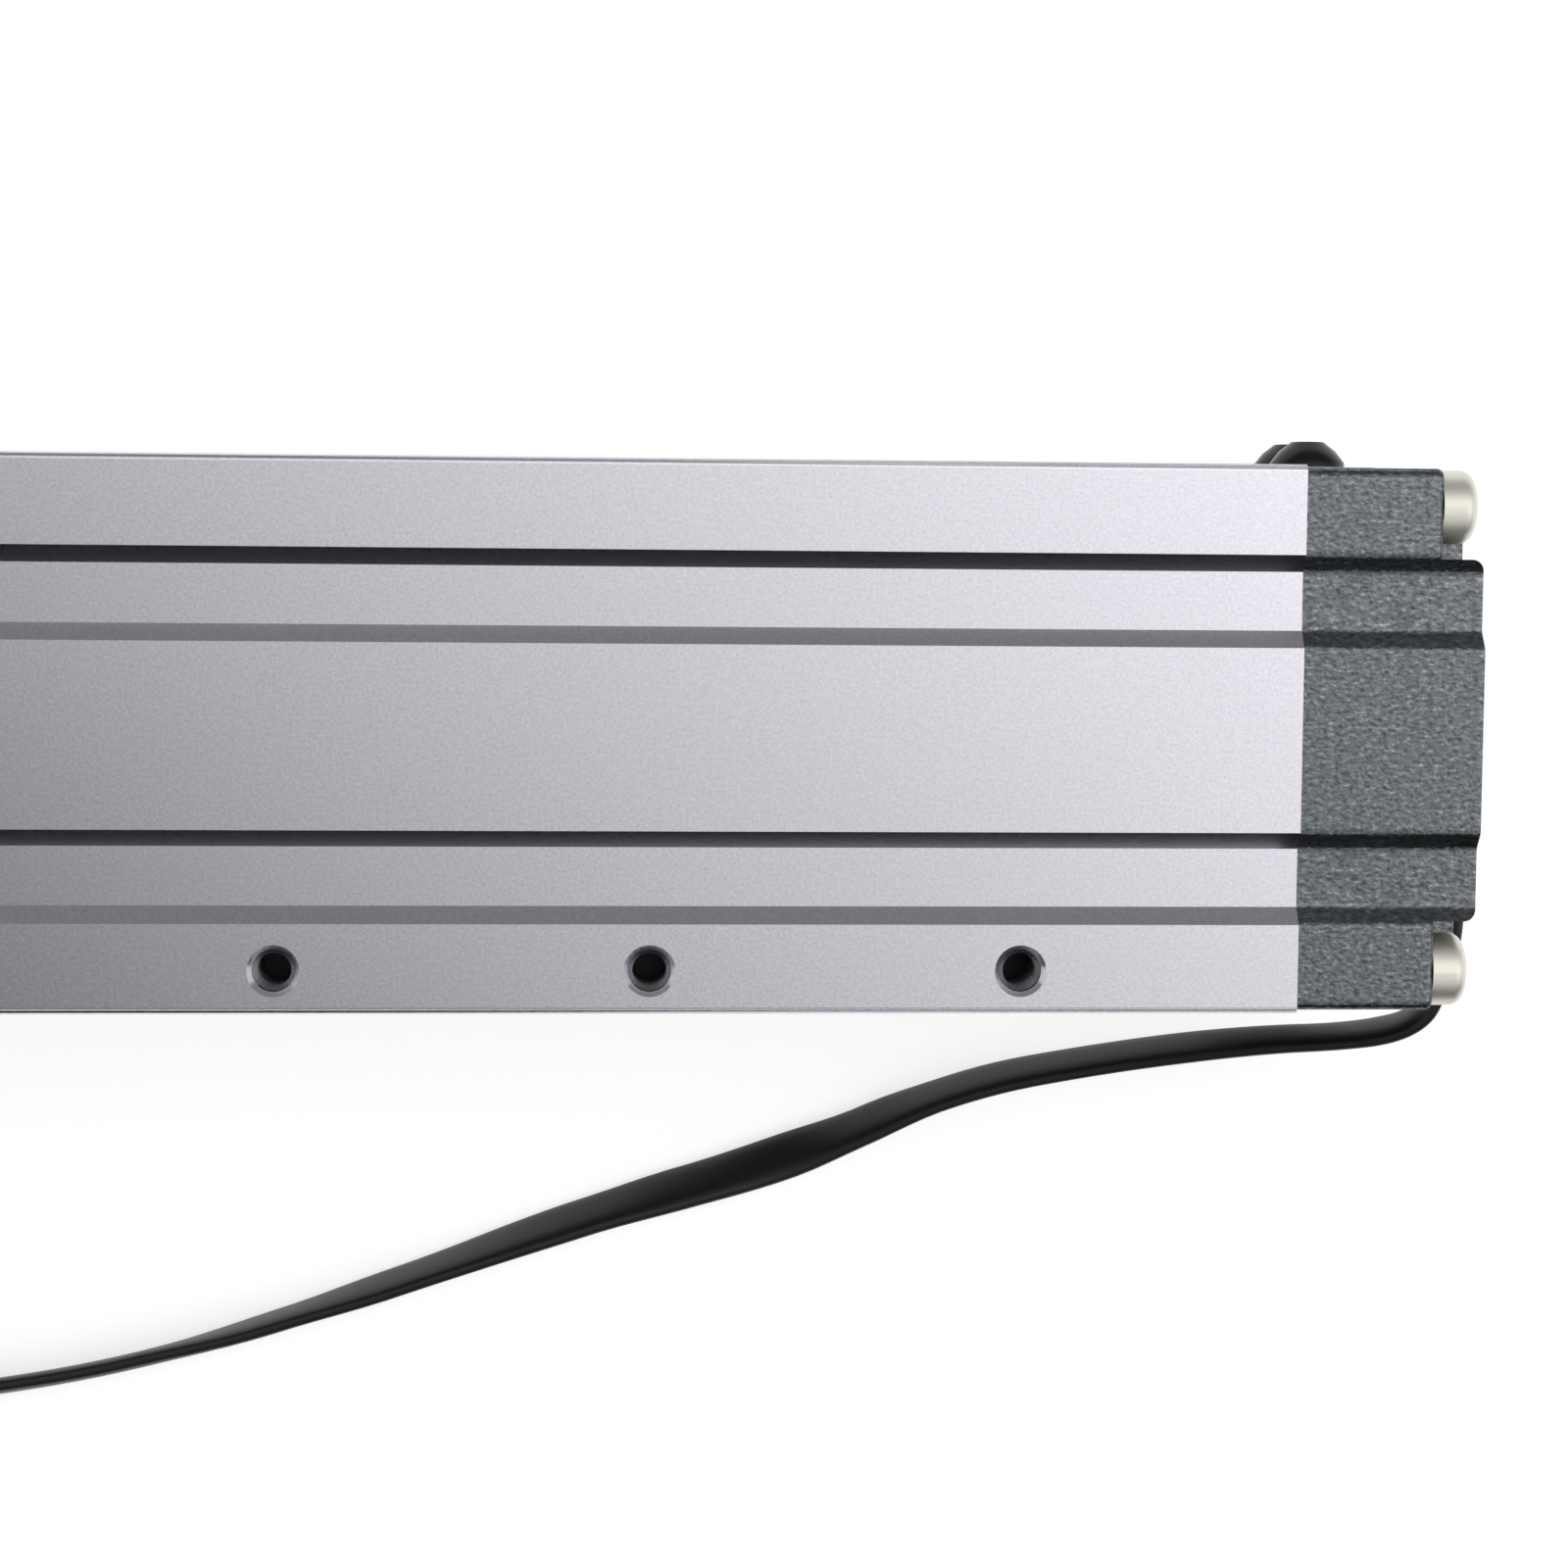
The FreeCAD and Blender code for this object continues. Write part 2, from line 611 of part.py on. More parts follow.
def motor_front_flange():
    """The motor's front flange with its pilot, bearing seat and tapped corners."""
    x = (MOTOR_START, MOTOR_START + FLANGE_LENGTH)
    flange = joined([square_bar(x, MOTOR_CORNER), bar((x[0] - PILOT_HEIGHT, x[0]), PILOT_DIAMETER)])
    seat = bearing_places()[0]
    cuts = [bar((seat[0], x[1]), BEARING_DIAMETER + 2 * FIT)]
    cuts.append(bar((x[0] - PILOT_HEIGHT, seat[0]), BEARING_DIAMETER - 2 * RING_WALL))
    cuts += [bar(x, M3_CORE, y, w) for y, w in motor_hole_places()]
    return flange.cut(cuts)


def motor_stator():
    """The laminated stator, with its bore and bolt holes."""
    x = (MOTOR_START + FLANGE_LENGTH, MOTOR_END - BELL_LENGTH)
    cuts = [bar(x, ROTOR_DIAMETER + 2 * ROTOR_GAP)]
    cuts += [bar(x, M3_CLEAR, y, w) for y, w in motor_hole_places()]
    return square_bar(x, STATOR_CORNER).cut(cuts)


def motor_rear_bell():
    """The motor's rear bell, with its bearing seat and sunk bolt heads."""
    x = (MOTOR_END - BELL_LENGTH, MOTOR_END)
    seat = bearing_places()[1]
    cuts = [bar((x[0], seat[1]), BEARING_DIAMETER + 2 * FIT)]
    cuts.append(bar((seat[1], x[1]), BEARING_DIAMETER - 2 * RING_WALL))
    for y, w in motor_hole_places():
        cuts.append(bar(x, M3_CLEAR, y, w))
        cuts.append(bar((x[1] - TIE_BOLT_HEAD, x[1]), 2 * M3_DIAMETER, y, w))
    return square_bar(x, MOTOR_CORNER).cut(cuts)


def motor_tie_bolts():
    """Four long bolts from the rear bell through the stator into the front flange."""
    bolts = []
    tip = MOTOR_START + FLANGE_LENGTH / 2
    flange = MOTOR_START + FLANGE_LENGTH
    for y, w in motor_hole_places():
        thread = bar((tip, flange), M3_CORE - 2 * FIT, y, w)
        shank = bar((flange, MOTOR_END - TIE_BOLT_HEAD), M3_DIAMETER, y, w)
        head = bar((MOTOR_END - TIE_BOLT_HEAD, MOTOR_END), 2 * M3_DIAMETER - 2 * SIDE_CLEARANCE, y, w)
        bolts.append(joined([thread, shank, head]))
    return Part.makeCompound(bolts)


def motor_screws():
    """Four screws through the mount into the motor's front flange."""
    screws = []
    tip = MOTOR_START + FLANGE_LENGTH / 2 - SIDE_CLEARANCE
    seat = MOUNT_START + M3_DIAMETER
    for y, w in motor_hole_places():
        head = bar((MOUNT_START, seat), 2 * M3_DIAMETER, y, w)
        shank = bar((seat, MOTOR_START), M3_DIAMETER, y, w)
        thread = bar((MOTOR_START, tip), M3_CORE - 2 * FIT, y, w)
        screws.append(joined([head, shank, thread]))
    return Part.makeCompound(screws)


def idle_bearing_block():
    """The block at the idle end, with the bearing seat bored from outside."""
    x = (BLOCK_START, BLOCK_END)
    seat = bearing_places()[2]
    cuts = [bar((x[0], seat[1]), BEARING_DIAMETER + 2 * FIT)]
    cuts.append(bar((seat[1], x[1]), BEARING_DIAMETER - 2 * RING_WALL))
    for place, w in base_screw_places()[1]:
        cuts.append(post((CHANNEL_BASE, CHANNEL_BASE + BASE_SCREW_GRIP), M3_CORE, place, w))
    return channel_plate(x).cut(cuts)


def bearing_outer_ring(place):
    """The outer ring of one bearing."""
    return bar(place, BEARING_DIAMETER).cut(bar(place, BEARING_DIAMETER - 2 * RING_WALL))


def bearing_inner_rings():
    """The inner rings of the three bearings, on the screw's journals."""
    bore = JOURNAL_DIAMETER + 2 * FIT
    rings = [bar(x, bore + 2 * RING_WALL).cut(bar(x, bore)) for x in bearing_places()]
    return Part.makeCompound(rings)


def lead_screw():
    """The screw over the carriage's run, with a long journal in the motor and a short one in the block."""
    shoulder = SIDE_CLEARANCE
    thread = (BLOCK_END - BEARING_SHOULDER - shoulder, MOUNT_START + PILOT_HEIGHT)
    idle_tip = BLOCK_START - CIRCLIP_THICKNESS - SIDE_CLEARANCE
    journal = bar((idle_tip, MOTOR_END - SIDE_CLEARANCE), JOURNAL_DIAMETER)
    groove_x = (BLOCK_START - CIRCLIP_THICKNESS, BLOCK_START)
    groove = bar(groove_x, JOURNAL_DIAMETER).cut(bar(groove_x, JOURNAL_DIAMETER - 2 * CIRCLIP_THICKNESS))
    return joined([bar(thread, SCREW_DIAMETER), journal]).cut(groove)


def screw_circlip():
    """The open ring that holds the screw in the idle bearing."""
    x = (BLOCK_START - CIRCLIP_THICKNESS + FIT, BLOCK_START - FIT)
    bore = JOURNAL_DIAMETER - 2 * CIRCLIP_THICKNESS + 2 * FIT
    ring = bar(x, CIRCLIP_DIAMETER).cut(bar(x, bore))
    gap = box(x, (0, CIRCLIP_DIAMETER), (-bore / 4, bore / 4))
    return ring.cut(gap)


def rotor_core():
    """The motor's rotor on the screw's journal."""
    x = (MOTOR_START + FLANGE_LENGTH + SIDE_CLEARANCE, MOTOR_END - BELL_LENGTH - SIDE_CLEARANCE)
    return bar(x, ROTOR_DIAMETER).cut(bar(x, JOURNAL_DIAMETER + 2 * FIT))


def bumpers(x):
    """Two rubber buffers at the height of the carriage's bridge."""
    y = (BRIDGE_BOTTOM + BRIDGE_TOP) / 2
    return Part.makeCompound([bar(x, BUMPER_DIAMETER, y, side * BUMPER_SPACING / 2) for side in SIDES])


def board_limits():
    """The control board's limits along X, along Y and across, inside the drive cap."""
    back = CAP_END - CAP_WALL - BOARD_STANDOFF
    half = CAP_ROOM_WIDTH / 2 - BOARD_MARGIN
    y = (-CAP_ROOM_BOTTOM + BOARD_MARGIN, CAP_ROOM_TOP - BOARD_MARGIN)
    return (back - BOARD_THICKNESS, back), y, (-half, half)


def board_screw_places():
    """The (y, w) places of the board's screws, in two opposite corners."""
    _, y, w = board_limits()
    inset = BOARD_SCREW_INSET
    return [(y[1] - inset, w[1] - inset), (y[1] - inset, w[0] + inset)]


def control_board():
    """The board in the drive cap, with its driver chip and ribbon socket."""
    x, y, w = board_limits()
    half = CHIP_SIDE / 2
    chip = box((x[0] - BOARD_THICKNESS, x[0]), (-half, half), (-half, half))
    socket_y = (y[0], y[0] + BOARD_STANDOFF)
    socket = box((x[0] - 2 * BOARD_THICKNESS, x[0]), socket_y, ribbon_width(BOARD_MARGIN))
    holes = [bar(x, M3_CLEAR, a, b) for a, b in board_screw_places()]
    return joined([box(x, y, w), chip, socket]).cut(holes)


def board_pillars():
    """Threaded pillars that carry the board on the cap's end wall."""
    back = CAP_END - CAP_WALL
    pillars = []
    for y, w in board_screw_places():
        x = (back - BOARD_STANDOFF, back)
        hole = bar((x[0], x[1] - PILLAR_FLOOR), M3_CORE, y, w)
        pillars.append(bar(x, PILLAR_DIAMETER, y, w).cut(hole))
    return Part.makeCompound(pillars)


def board_screws():
    """Two small screws that hold the board on its pillars."""
    front = board_limits()[0][0]
    screws = []
    for y, w in board_screw_places():
        head = bar((front - BOARD_THICKNESS, front), BOARD_SCREW_HEAD, y, w)
        tip = front + BOARD_THICKNESS + BOARD_STANDOFF - PILLAR_FLOOR - FIT
        shank = bar((front, tip), M3_CORE - 2 * FIT, y, w)
        screws.append(joined([head, shank]))
    return Part.makeCompound(screws)


def flag_place():
    """Where the home flag runs: the middle of its plate across the module."""
    return CORE_WIDTH / 2 - FLAG_FOOT


def sensor_limits():
    """The sensor's limits along X, round the flag when the carriage is at the drive end."""
    end = CARRIAGE_X + STROKE / 2 + FLAG_LENGTH / 2
    return (end - SENSOR_LENGTH, end)


def home_sensor():
    """A forked light barrier on the base, open towards the carriage."""
    x, w = sensor_limits(), flag_place()
    half = SENSOR_SLOT / 2 + SENSOR_ARM
    fork = box(x, (CHANNEL_BASE, CHANNEL_BASE + SENSOR_HEIGHT), (w - half, w + half))
    slot = (w - SENSOR_SLOT / 2, w + SENSOR_SLOT / 2)
    return fork.cut(box(x, (CHANNEL_BASE + SENSOR_BASE, CHANNEL_BASE + SENSOR_HEIGHT), slot))


def home_flag():
    """A bent tab under the carriage that shades the sensor at the end of the stroke."""
    w = flag_place()
    x = (CARRIAGE_X - FLAG_LENGTH / 2, CARRIAGE_X + FLAG_LENGTH / 2)
    half = FLAG_THICKNESS / 2
    foot = box(x, (-CORE_DROP - FLAG_THICKNESS, -CORE_DROP), (w - FLAG_FOOT, w + half))
    blade = box(x, (-CORE_DROP - FLAG_DIP, -CORE_DROP), (w - half, w + half))
    return joined([foot, blade])


def ribbon_width(margin=0.0):
    """The ribbon's limits across the module, in line with the sensor."""
    half = RIBBON_WIDTH / 2 + margin
    return (flag_place() - half, flag_place() + half)


def sensor_ribbon():
    """A flat ribbon along the base from the sensor to the control board's socket."""
    end = board_limits()[0][0] - 2 * BOARD_THICKNESS
    turn = MOTOR_END + END_MARGIN / 2
    socket_y = board_limits()[1][0] + BOARD_STANDOFF / 2
    flat = box((sensor_limits()[1], turn), (CHANNEL_BASE, CHANNEL_BASE + RIBBON_THICKNESS), ribbon_width())
    rise = box((turn - RIBBON_THICKNESS, turn), (CHANNEL_BASE, socket_y), ribbon_width())
    tail = box((turn, end), (socket_y - RIBBON_THICKNESS, socket_y), ribbon_width())
    return joined([flat, rise, tail])


def carriage_block():
    """The carriage: a core round the nut, a bridge over the rollers and two arms through the slots."""
    x = (CARRIAGE_X - CARRIAGE_LENGTH / 2, CARRIAGE_X + CARRIAGE_LENGTH / 2)
    core = box((x[0], nut_face()), (-CORE_DROP, BRIDGE_TOP), (-CORE_WIDTH / 2, CORE_WIDTH / 2))
    half = AXLE_OFFSET + BRIDGE_MARGIN
    bridge = box(x, (BRIDGE_BOTTOM, BRIDGE_TOP), (-half, half))
    arms = []
    for side in SIDES:
        arm = box(x, (BRIDGE_TOP, PLATE_BOTTOM), sorted((side * ARM_INNER, side * ARM_OUTER)))
        arms.append(rounded(arm, ARM_RADIUS, lambda edge: along(edge, V(0, 1, 0))))
    cuts = [bar(x, NUT_DIAMETER + 2 * FIT)]
    for y, w in nut_screw_places():
        cuts.append(bar((nut_face() - NUT_SCREW_GRIP, nut_face()), M3_CORE, y, w))
    for place, w in roller_places():
        cuts.append(post((BRIDGE_BOTTOM, BRIDGE_TOP), AXLE_THREAD, place, w))
    for place, w in plate_screw_places():
        cuts.append(post((PLATE_BOTTOM - PLATE_SCREW_GRIP, PLATE_BOTTOM), M3_CORE, place, w))
    return joined([core, bridge] + arms).cut(cuts)


def nut_face():
    """The core's end face, which the nut's flange lies on, sunk below the bridge's end."""
    return CARRIAGE_X + CARRIAGE_LENGTH / 2 - NUT_FLANGE_THICKNESS - NUT_SCREW_HEAD_HEIGHT - NUT_SUNK


def nut_screw_places():
    """The (y, w) places of the nut's two screws, above and below the screw."""
    return [(side * NUT_SCREW_CIRCLE / 2, 0.0) for side in SIDES]


def drive_nut():
    """The flanged nut, with two flats on its flange."""
    face = nut_face()
    barrel = bar((face - NUT_BARREL, face), NUT_DIAMETER)
    x = (face, face + NUT_FLANGE_THICKNESS)
    half = NUT_FLANGE_WIDTH / 2
    flange = bar(x, NUT_FLANGE).common(box(x, (-NUT_FLANGE, NUT_FLANGE), (-half, half)))
    cuts = [bar((face - NUT_BARREL, x[1]), SCREW_DIAMETER + 2 * RUN)]
    cuts += [bar(x, M3_CLEAR, y, w) for y, w in nut_screw_places()]
    return joined([barrel, flange]).cut(cuts)


def nut_screws():
    """Two screws that hold the nut's flange on the core."""
    screws = []
    seat = nut_face() + NUT_FLANGE_THICKNESS
    for y, w in nut_screw_places():
        head = bar((seat, seat + NUT_SCREW_HEAD_HEIGHT), NUT_SCREW_HEAD, y, w)
        shank = bar((nut_face() - NUT_SCREW_GRIP + FIT, seat), M3_CORE - 2 * FIT, y, w)
        screws.append(joined([head, shank]))
    return Part.makeCompound(screws)


def roller_places():
    """The (x, w) places of the four rollers' axles."""
    half = ROLLER_SPACING / 2
    return [(CARRIAGE_X + end * half, side * AXLE_OFFSET) for end in SIDES for side in SIDES]


def roller(x, w):
    """One roller, with a round groove for the guide rod."""
    half = ROLLER_WIDTH / 2
    wheel = post((-half, half), ROLLER_DIAMETER, x, w)
    ring = ROLLER_GROOVE_RADIUS + ROD_DIAMETER / 2
    groove = Part.makeTorus(ring, ROD_DIAMETER / 2, V(x, 0, AXIS_Z + w), V(0, 1, 0))
    bore = post((-half, half), AXLE_DIAMETER + 2 * RUN, x, w)
    return wheel.cut([groove, bore])


def roller_axles():
    """Four shoulder bolts, headed under the rollers and screwed into the bridge."""
    axles = []
    low = -ROLLER_WIDTH / 2 - ROLLER_END_PLAY
    for x, w in roller_places():
        head = post((low - AXLE_HEAD_HEIGHT, low), AXLE_HEAD_DIAMETER, x, w)
        shank = post((low, BRIDGE_BOTTOM), AXLE_DIAMETER, x, w)
        thread = post((BRIDGE_BOTTOM, BRIDGE_TOP - FIT), AXLE_THREAD - 2 * FIT, x, w)
        axles.append(joined([head, shank, thread]))
    return Part.makeCompound(axles)


def roller_spacers():
    """Four sleeves between the rollers and the bridge."""
    y = (ROLLER_WIDTH / 2 + ROLLER_END_PLAY, BRIDGE_BOTTOM)
    bore = AXLE_DIAMETER + 2 * FIT
    sleeves = [post(y, AXLE_HEAD_DIAMETER, x, w).cut(post(y, bore, x, w)) for x, w in roller_places()]
    return Part.makeCompound(sleeves)


def plate_screw_places():
    """The (x, w) places of the screws from the slider plate into the arms."""
    half, w = PLATE_SCREW_SPACING / 2, (ARM_INNER + ARM_OUTER) / 2
    return [(CARRIAGE_X + end * half, side * w) for end in SIDES for side in SIDES]


def slider_plate():
    """The plate that carries the load, with four threaded holes and four sunk screws."""
    x = (CARRIAGE_X - PLATE_LENGTH / 2, CARRIAGE_X + PLATE_LENGTH / 2)
    half = PLATE_WIDTH / 2
    plate = box(x, (PLATE_BOTTOM, PLATE_TOP), (-half, half))
    plate = rounded(plate, PLATE_CORNER, lambda edge: along(edge, V(0, 1, 0)))
    rim = [e for e in plate.Edges if e.BoundBox.YMin > PLATE_TOP - FIT]
    plate = plate.makeChamfer(PLATE_EDGE, rim)
    cuts = []
    for end in SIDES:
        for side in SIDES:
            place = CARRIAGE_X + end * PAYLOAD_SPACING / 2
            cuts.append(post((PLATE_BOTTOM, PLATE_TOP), M4_CORE, place, side * PAYLOAD_SPACING / 2))
    for place, w in plate_screw_places():
        cuts.append(post((PLATE_BOTTOM, PLATE_TOP), M3_CLEAR, place, w))
        sunk = (PLATE_TOP - PLATE_SCREW_HEAD_HEIGHT, PLATE_TOP)
        cuts.append(post(sunk, 2 * M3_DIAMETER + 2 * SIDE_CLEARANCE, place, w))
    return plate.cut(cuts)


def slider_screws():
    """Four sunk screws that hold the slider plate on the arms."""
    screws = []
    seat = PLATE_TOP - PLATE_SCREW_HEAD_HEIGHT
    for x, w in plate_screw_places():
        head = post((seat, seat + M3_DIAMETER), 2 * M3_DIAMETER, x, w)
        shank = post((PLATE_BOTTOM, seat), M3_DIAMETER, x, w)
        thread = post((PLATE_BOTTOM - PLATE_SCREW_GRIP + FIT, PLATE_BOTTOM), M3_CORE - 2 * FIT, x, w)
        screws.append(joined([head, shank, thread]))
    return Part.makeCompound(screws)


def cable_grommet():
    """The gland in the cap's end wall that the flat cable comes out of."""
    neck = oblong((CAP_END - CAP_WALL, CAP_END), SLOT_WIDTH, SLOT_HEIGHT)
    flange = oblong((CAP_END, CAP_END + GROMMET_PROUD), GROMMET_WIDTH, GROMMET_HEIGHT)
    return joined([neck, flange])


def cable_run(points):
    """A tube along straight runs joined by tangent arcs; prints the arcs' radii."""
    edges = []
    start = points[0]
    for before, corner, after in zip(points, points[1:], points[2:]):
        back, ahead = before - corner, after - corner
        shorter = min(back.Length, ahead.Length)
        back.normalize()
        ahead.normalize()
        turn = math.pi - back.getAngle(ahead)
        reach = 0.45 * shorter
        radius = reach / math.tan(turn / 2)
        middle = back + ahead
        middle.normalize()
        inside = radius / math.cos(turn / 2) - radius
        first, last = corner + back * reach, corner + ahead * reach
        edges.append(Part.LineSegment(start, first).toShape())
        edges.append(Part.Arc(first, corner + middle * inside, last).toShape())
        start = last
        print("cable arc: radius", round(radius, 1), "turn", round(math.degrees(turn), 1))
    edges.append(Part.LineSegment(start, points[-1]).toShape())
    length = sum(edge.Length for edge in edges)
    ring = Part.makeCircle(CABLE_DIAMETER / 2, points[0], points[1] - points[0])
    tube = Part.Wire(edges).makePipeShell([Part.Wire([ring])], True, True)
    wanted = math.pi * CABLE_DIAMETER ** 2 / 4 * length
    print("cable length", round(length, 1), "volume share", round(tube.Volume / wanted, 4))
    return tube


def coil_cylinder(radius, z):
    """A disc on the coil's axis."""
    return Part.makeCylinder(radius, z[1] - z[0], V(COIL_CENTRE[0], COIL_CENTRE[1], z[0]), V(0, 0, 1))


def cable_coil():
    """The outer shape of the wound-up length of cable."""
    z = (COIL_BOTTOM, COIL_TOP)
    return coil_cylinder(COIL_OUTER, z).cut(coil_cylinder(COIL_INNER, z))


def at_coil(shape, angle):
    """A shape modelled on the X axis, turned to an angle round the coil's axis."""
    shape.rotate(V(0, 0, 0), V(0, 0, 1), angle)
    shape.translate(V(COIL_CENTRE[0], COIL_CENTRE[1], 0))
    return shape


def cable_tie():
    """A flat band round the turns of the coil."""
    grown = TIE_GAP + TIE_THICKNESS
    half = TIE_WIDTH / 2
    low = math.sqrt(COIL_INNER ** 2 - half ** 2)
    depth, height = COIL_OUTER - low, COIL_TOP - COIL_BOTTOM

    def sleeve(gap):
        corner = V(low - gap, -half, COIL_BOTTOM - gap)
        return Part.makeBox(depth + 2 * gap, TIE_WIDTH, height + 2 * gap, corner)

    return at_coil(sleeve(grown).cut(sleeve(TIE_GAP)), TIE_ANGLE)


def cable_plug():
    """The plug at the far end of the cable, lying inside the coil."""
    half = PLUG_LENGTH / 2
    outer = math.sqrt((COIL_INNER - PLUG_GAP) ** 2 - half ** 2)
    shell = Part.makeBox(PLUG_WIDTH, PLUG_LENGTH, PLUG_HEIGHT, V(outer - PLUG_WIDTH, -half, 0))
    shell = shell.makeFillet(PLUG_EDGE, shell.Edges)
    return at_coil(shell, PLUG_ANGLE)


def write(name, shape):
    """Checks a piece and writes it to its own file."""
    if not shape.isValid() or not shape.Solids:
        raise ValueError(name + " isn't a sound solid")
    shape.exportStep(os.path.join("parts", name + ".step"))


def main():
    """Builds every piece and writes it out."""
    os.makedirs("parts", exist_ok=True)
    front, rear, idle = bearing_places()
    drive_bumper = (MOUNT_START - DRIVE_STOP_GAP + BUMPER_CLEARANCE, MOUNT_START)
    idle_bumper = (BLOCK_END, BLOCK_END + IDLE_STOP_GAP - BUMPER_CLEARANCE)
    exit_point = V(CAP_END + GROMMET_PROUD, CABLE_EXIT_Y, CABLE_EXIT_Z)
    coil_side = COIL_CENTRE[1] + COIL_OUTER - CABLE_DIAMETER / 2
    coil_start = V(COIL_CENTRE[0] + COIL_LEAD, coil_side, COIL_HEIGHT)
    lead_point = exit_point + V(CABLE_LEAD, 0, 0)
    route = [exit_point, lead_point] + [V(*point) for point in CABLE_ROUTE] + [coil_start]
    pieces = {
        "body_extrusion": body_extrusion(),
        "end_cap_drive": end_cap_drive(),
        "end_cap_idle": mirrored(cap_blank()),
        "cap_screws_drive": cap_screws(),
        "cap_screws_idle": mirrored(cap_screws()),
        "top_cover": top_cover(),
        "cover_screws": cover_screws(),
        "slot_seals": slot_seals(),
        "guide_rod_upper": guide_rod(1),
        "guide_rod_lower": guide_rod(-1),
        "motor_mount": motor_mount(),
        "mount_screws": base_screws(0),
        "motor_front_flange": motor_front_flange(),
        "motor_stator": motor_stator(),
        "motor_rear_bell": motor_rear_bell(),
        "motor_tie_bolts": motor_tie_bolts(),
        "motor_screws": motor_screws(),
        "idle_bearing_block": idle_bearing_block(),
        "block_screws": base_screws(1),
        "bearing_ring_front": bearing_outer_ring(front),
        "bearing_ring_rear": bearing_outer_ring(rear),
        "bearing_ring_idle": bearing_outer_ring(idle),
        "bearing_inner_rings": bearing_inner_rings(),
        "lead_screw": lead_screw(),
        "screw_circlip": screw_circlip(),
        "rotor_core": rotor_core(),
        "bumpers_drive": bumpers(drive_bumper),
        "bumpers_idle": bumpers(idle_bumper),
        "control_board": control_board(),
        "board_pillars": board_pillars(),
        "board_screws": board_screws(),
        "home_sensor": home_sensor(),
        "home_flag": home_flag(),
        "sensor_ribbon": sensor_ribbon(),
        "carriage_block": carriage_block(),
        "drive_nut": drive_nut(),
        "nut_screws": nut_screws(),
        "roller_axles": roller_axles(),
        "roller_spacers": roller_spacers(),
        "slider_plate": slider_plate(),
        "slider_screws": slider_screws(),
        "cable_grommet": cable_grommet(),
        "cable_run": cable_run(route),
        "cable_coil": cable_coil(),
        "cable_tie": cable_tie(),
        "cable_plug": cable_plug(),
    }
    names = ("roller_drive_upper", "roller_drive_lower", "roller_idle_upper", "roller_idle_lower")
    for name, (x, w) in zip(names, roller_places()):
        pieces[name] = roller(x, w)
    for name, shape in pieces.items():
        write(name, shape)
    print("body", BODY_LENGTH, "x", 2 * HALF_HEIGHT, "x", 2 * HALF_WIDTH, "carriage at", CARRIAGE_X)


main()
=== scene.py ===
"""Looks of an enclosed screw linear module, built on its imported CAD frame.

Metres. X runs along the module towards its cable, Y points out of the carriage side and Z points up.
"""

import logging
import math
from dataclasses import dataclass
from enum import Enum

import bmesh
import bpy
from mathutils import Matrix, Vector

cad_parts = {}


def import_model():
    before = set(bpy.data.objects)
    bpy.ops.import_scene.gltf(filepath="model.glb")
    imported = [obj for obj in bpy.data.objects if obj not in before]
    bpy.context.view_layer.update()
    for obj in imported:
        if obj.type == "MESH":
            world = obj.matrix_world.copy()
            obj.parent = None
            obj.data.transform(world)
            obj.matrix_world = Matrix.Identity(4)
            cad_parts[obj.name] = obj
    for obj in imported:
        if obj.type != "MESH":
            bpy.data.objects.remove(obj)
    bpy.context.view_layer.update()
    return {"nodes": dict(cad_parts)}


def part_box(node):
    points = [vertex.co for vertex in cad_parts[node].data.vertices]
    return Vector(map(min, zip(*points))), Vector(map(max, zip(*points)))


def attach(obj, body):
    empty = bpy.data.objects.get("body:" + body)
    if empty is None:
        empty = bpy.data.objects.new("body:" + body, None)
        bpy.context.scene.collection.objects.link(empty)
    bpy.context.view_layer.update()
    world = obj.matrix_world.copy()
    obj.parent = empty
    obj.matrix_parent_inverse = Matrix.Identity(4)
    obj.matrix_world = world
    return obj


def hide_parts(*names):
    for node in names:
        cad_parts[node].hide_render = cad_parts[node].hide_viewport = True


LOG = logging.getLogger("linear_module")
MM = 0.001
AXIS_HEIGHT = 32.0 * MM
INTO_SIDE = Vector((0, 0, -1))
INTO_BASE = Vector((0, 1, 0))
INTO_TOP = Vector((0, -1, 0))
CORNERS = ((-1, -1), (-1, 1), (1, -1), (1, 1))


class Body(Enum):
    """The moving bodies of the frame that pieces of the scene ride on."""

    FRAME = "frame"
    SCREW = "screw"
    CARRIAGE = "carriage"


class Grain(Enum):
    """How a finish's surface is broken up."""

    NONE = "none"
    BLASTED = "blasted"
    ERODED = "eroded"
    DRAWN = "drawn"


# How fine each grain's noise is along X, Y and Z
GRAIN_STRETCH: dict[Grain, tuple[float, float, float]] = {
    Grain.BLASTED: (1.0, 1.0, 1.0),
    Grain.ERODED: (0.75, 1.25, 1.0),
    Grain.DRAWN: (0.02, 1.0, 1.0),
}
NOISE_DETAIL = 2.0
# Sizes in grains, and the noise levels between which a colour or a gloss changes
CRATER_SIZE = 1.1
CRATER_SMOOTHNESS = 0.6
MOTTLE_SIZE = 1.7
MOTTLE_STOPS = (0.3, 0.7)
GLINT_SIZE = 1.5
GLINT_STRETCH = (0.75, 1.5, 1.0)
GLINT_DETAIL = 4.0
GLINT_ROUGHNESS = 0.62
GLINT_STOPS = (0.32, 0.6, 0.7)
GLINT_MIDDLE = 0.56


def linear(level: float) -> float:
    """One sRGB channel from 0 to 255 as a linear value."""
    share = level / 255
    return share / 12.92 if share <= 0.04045 else ((share + 0.055) / 1.055) ** 2.4


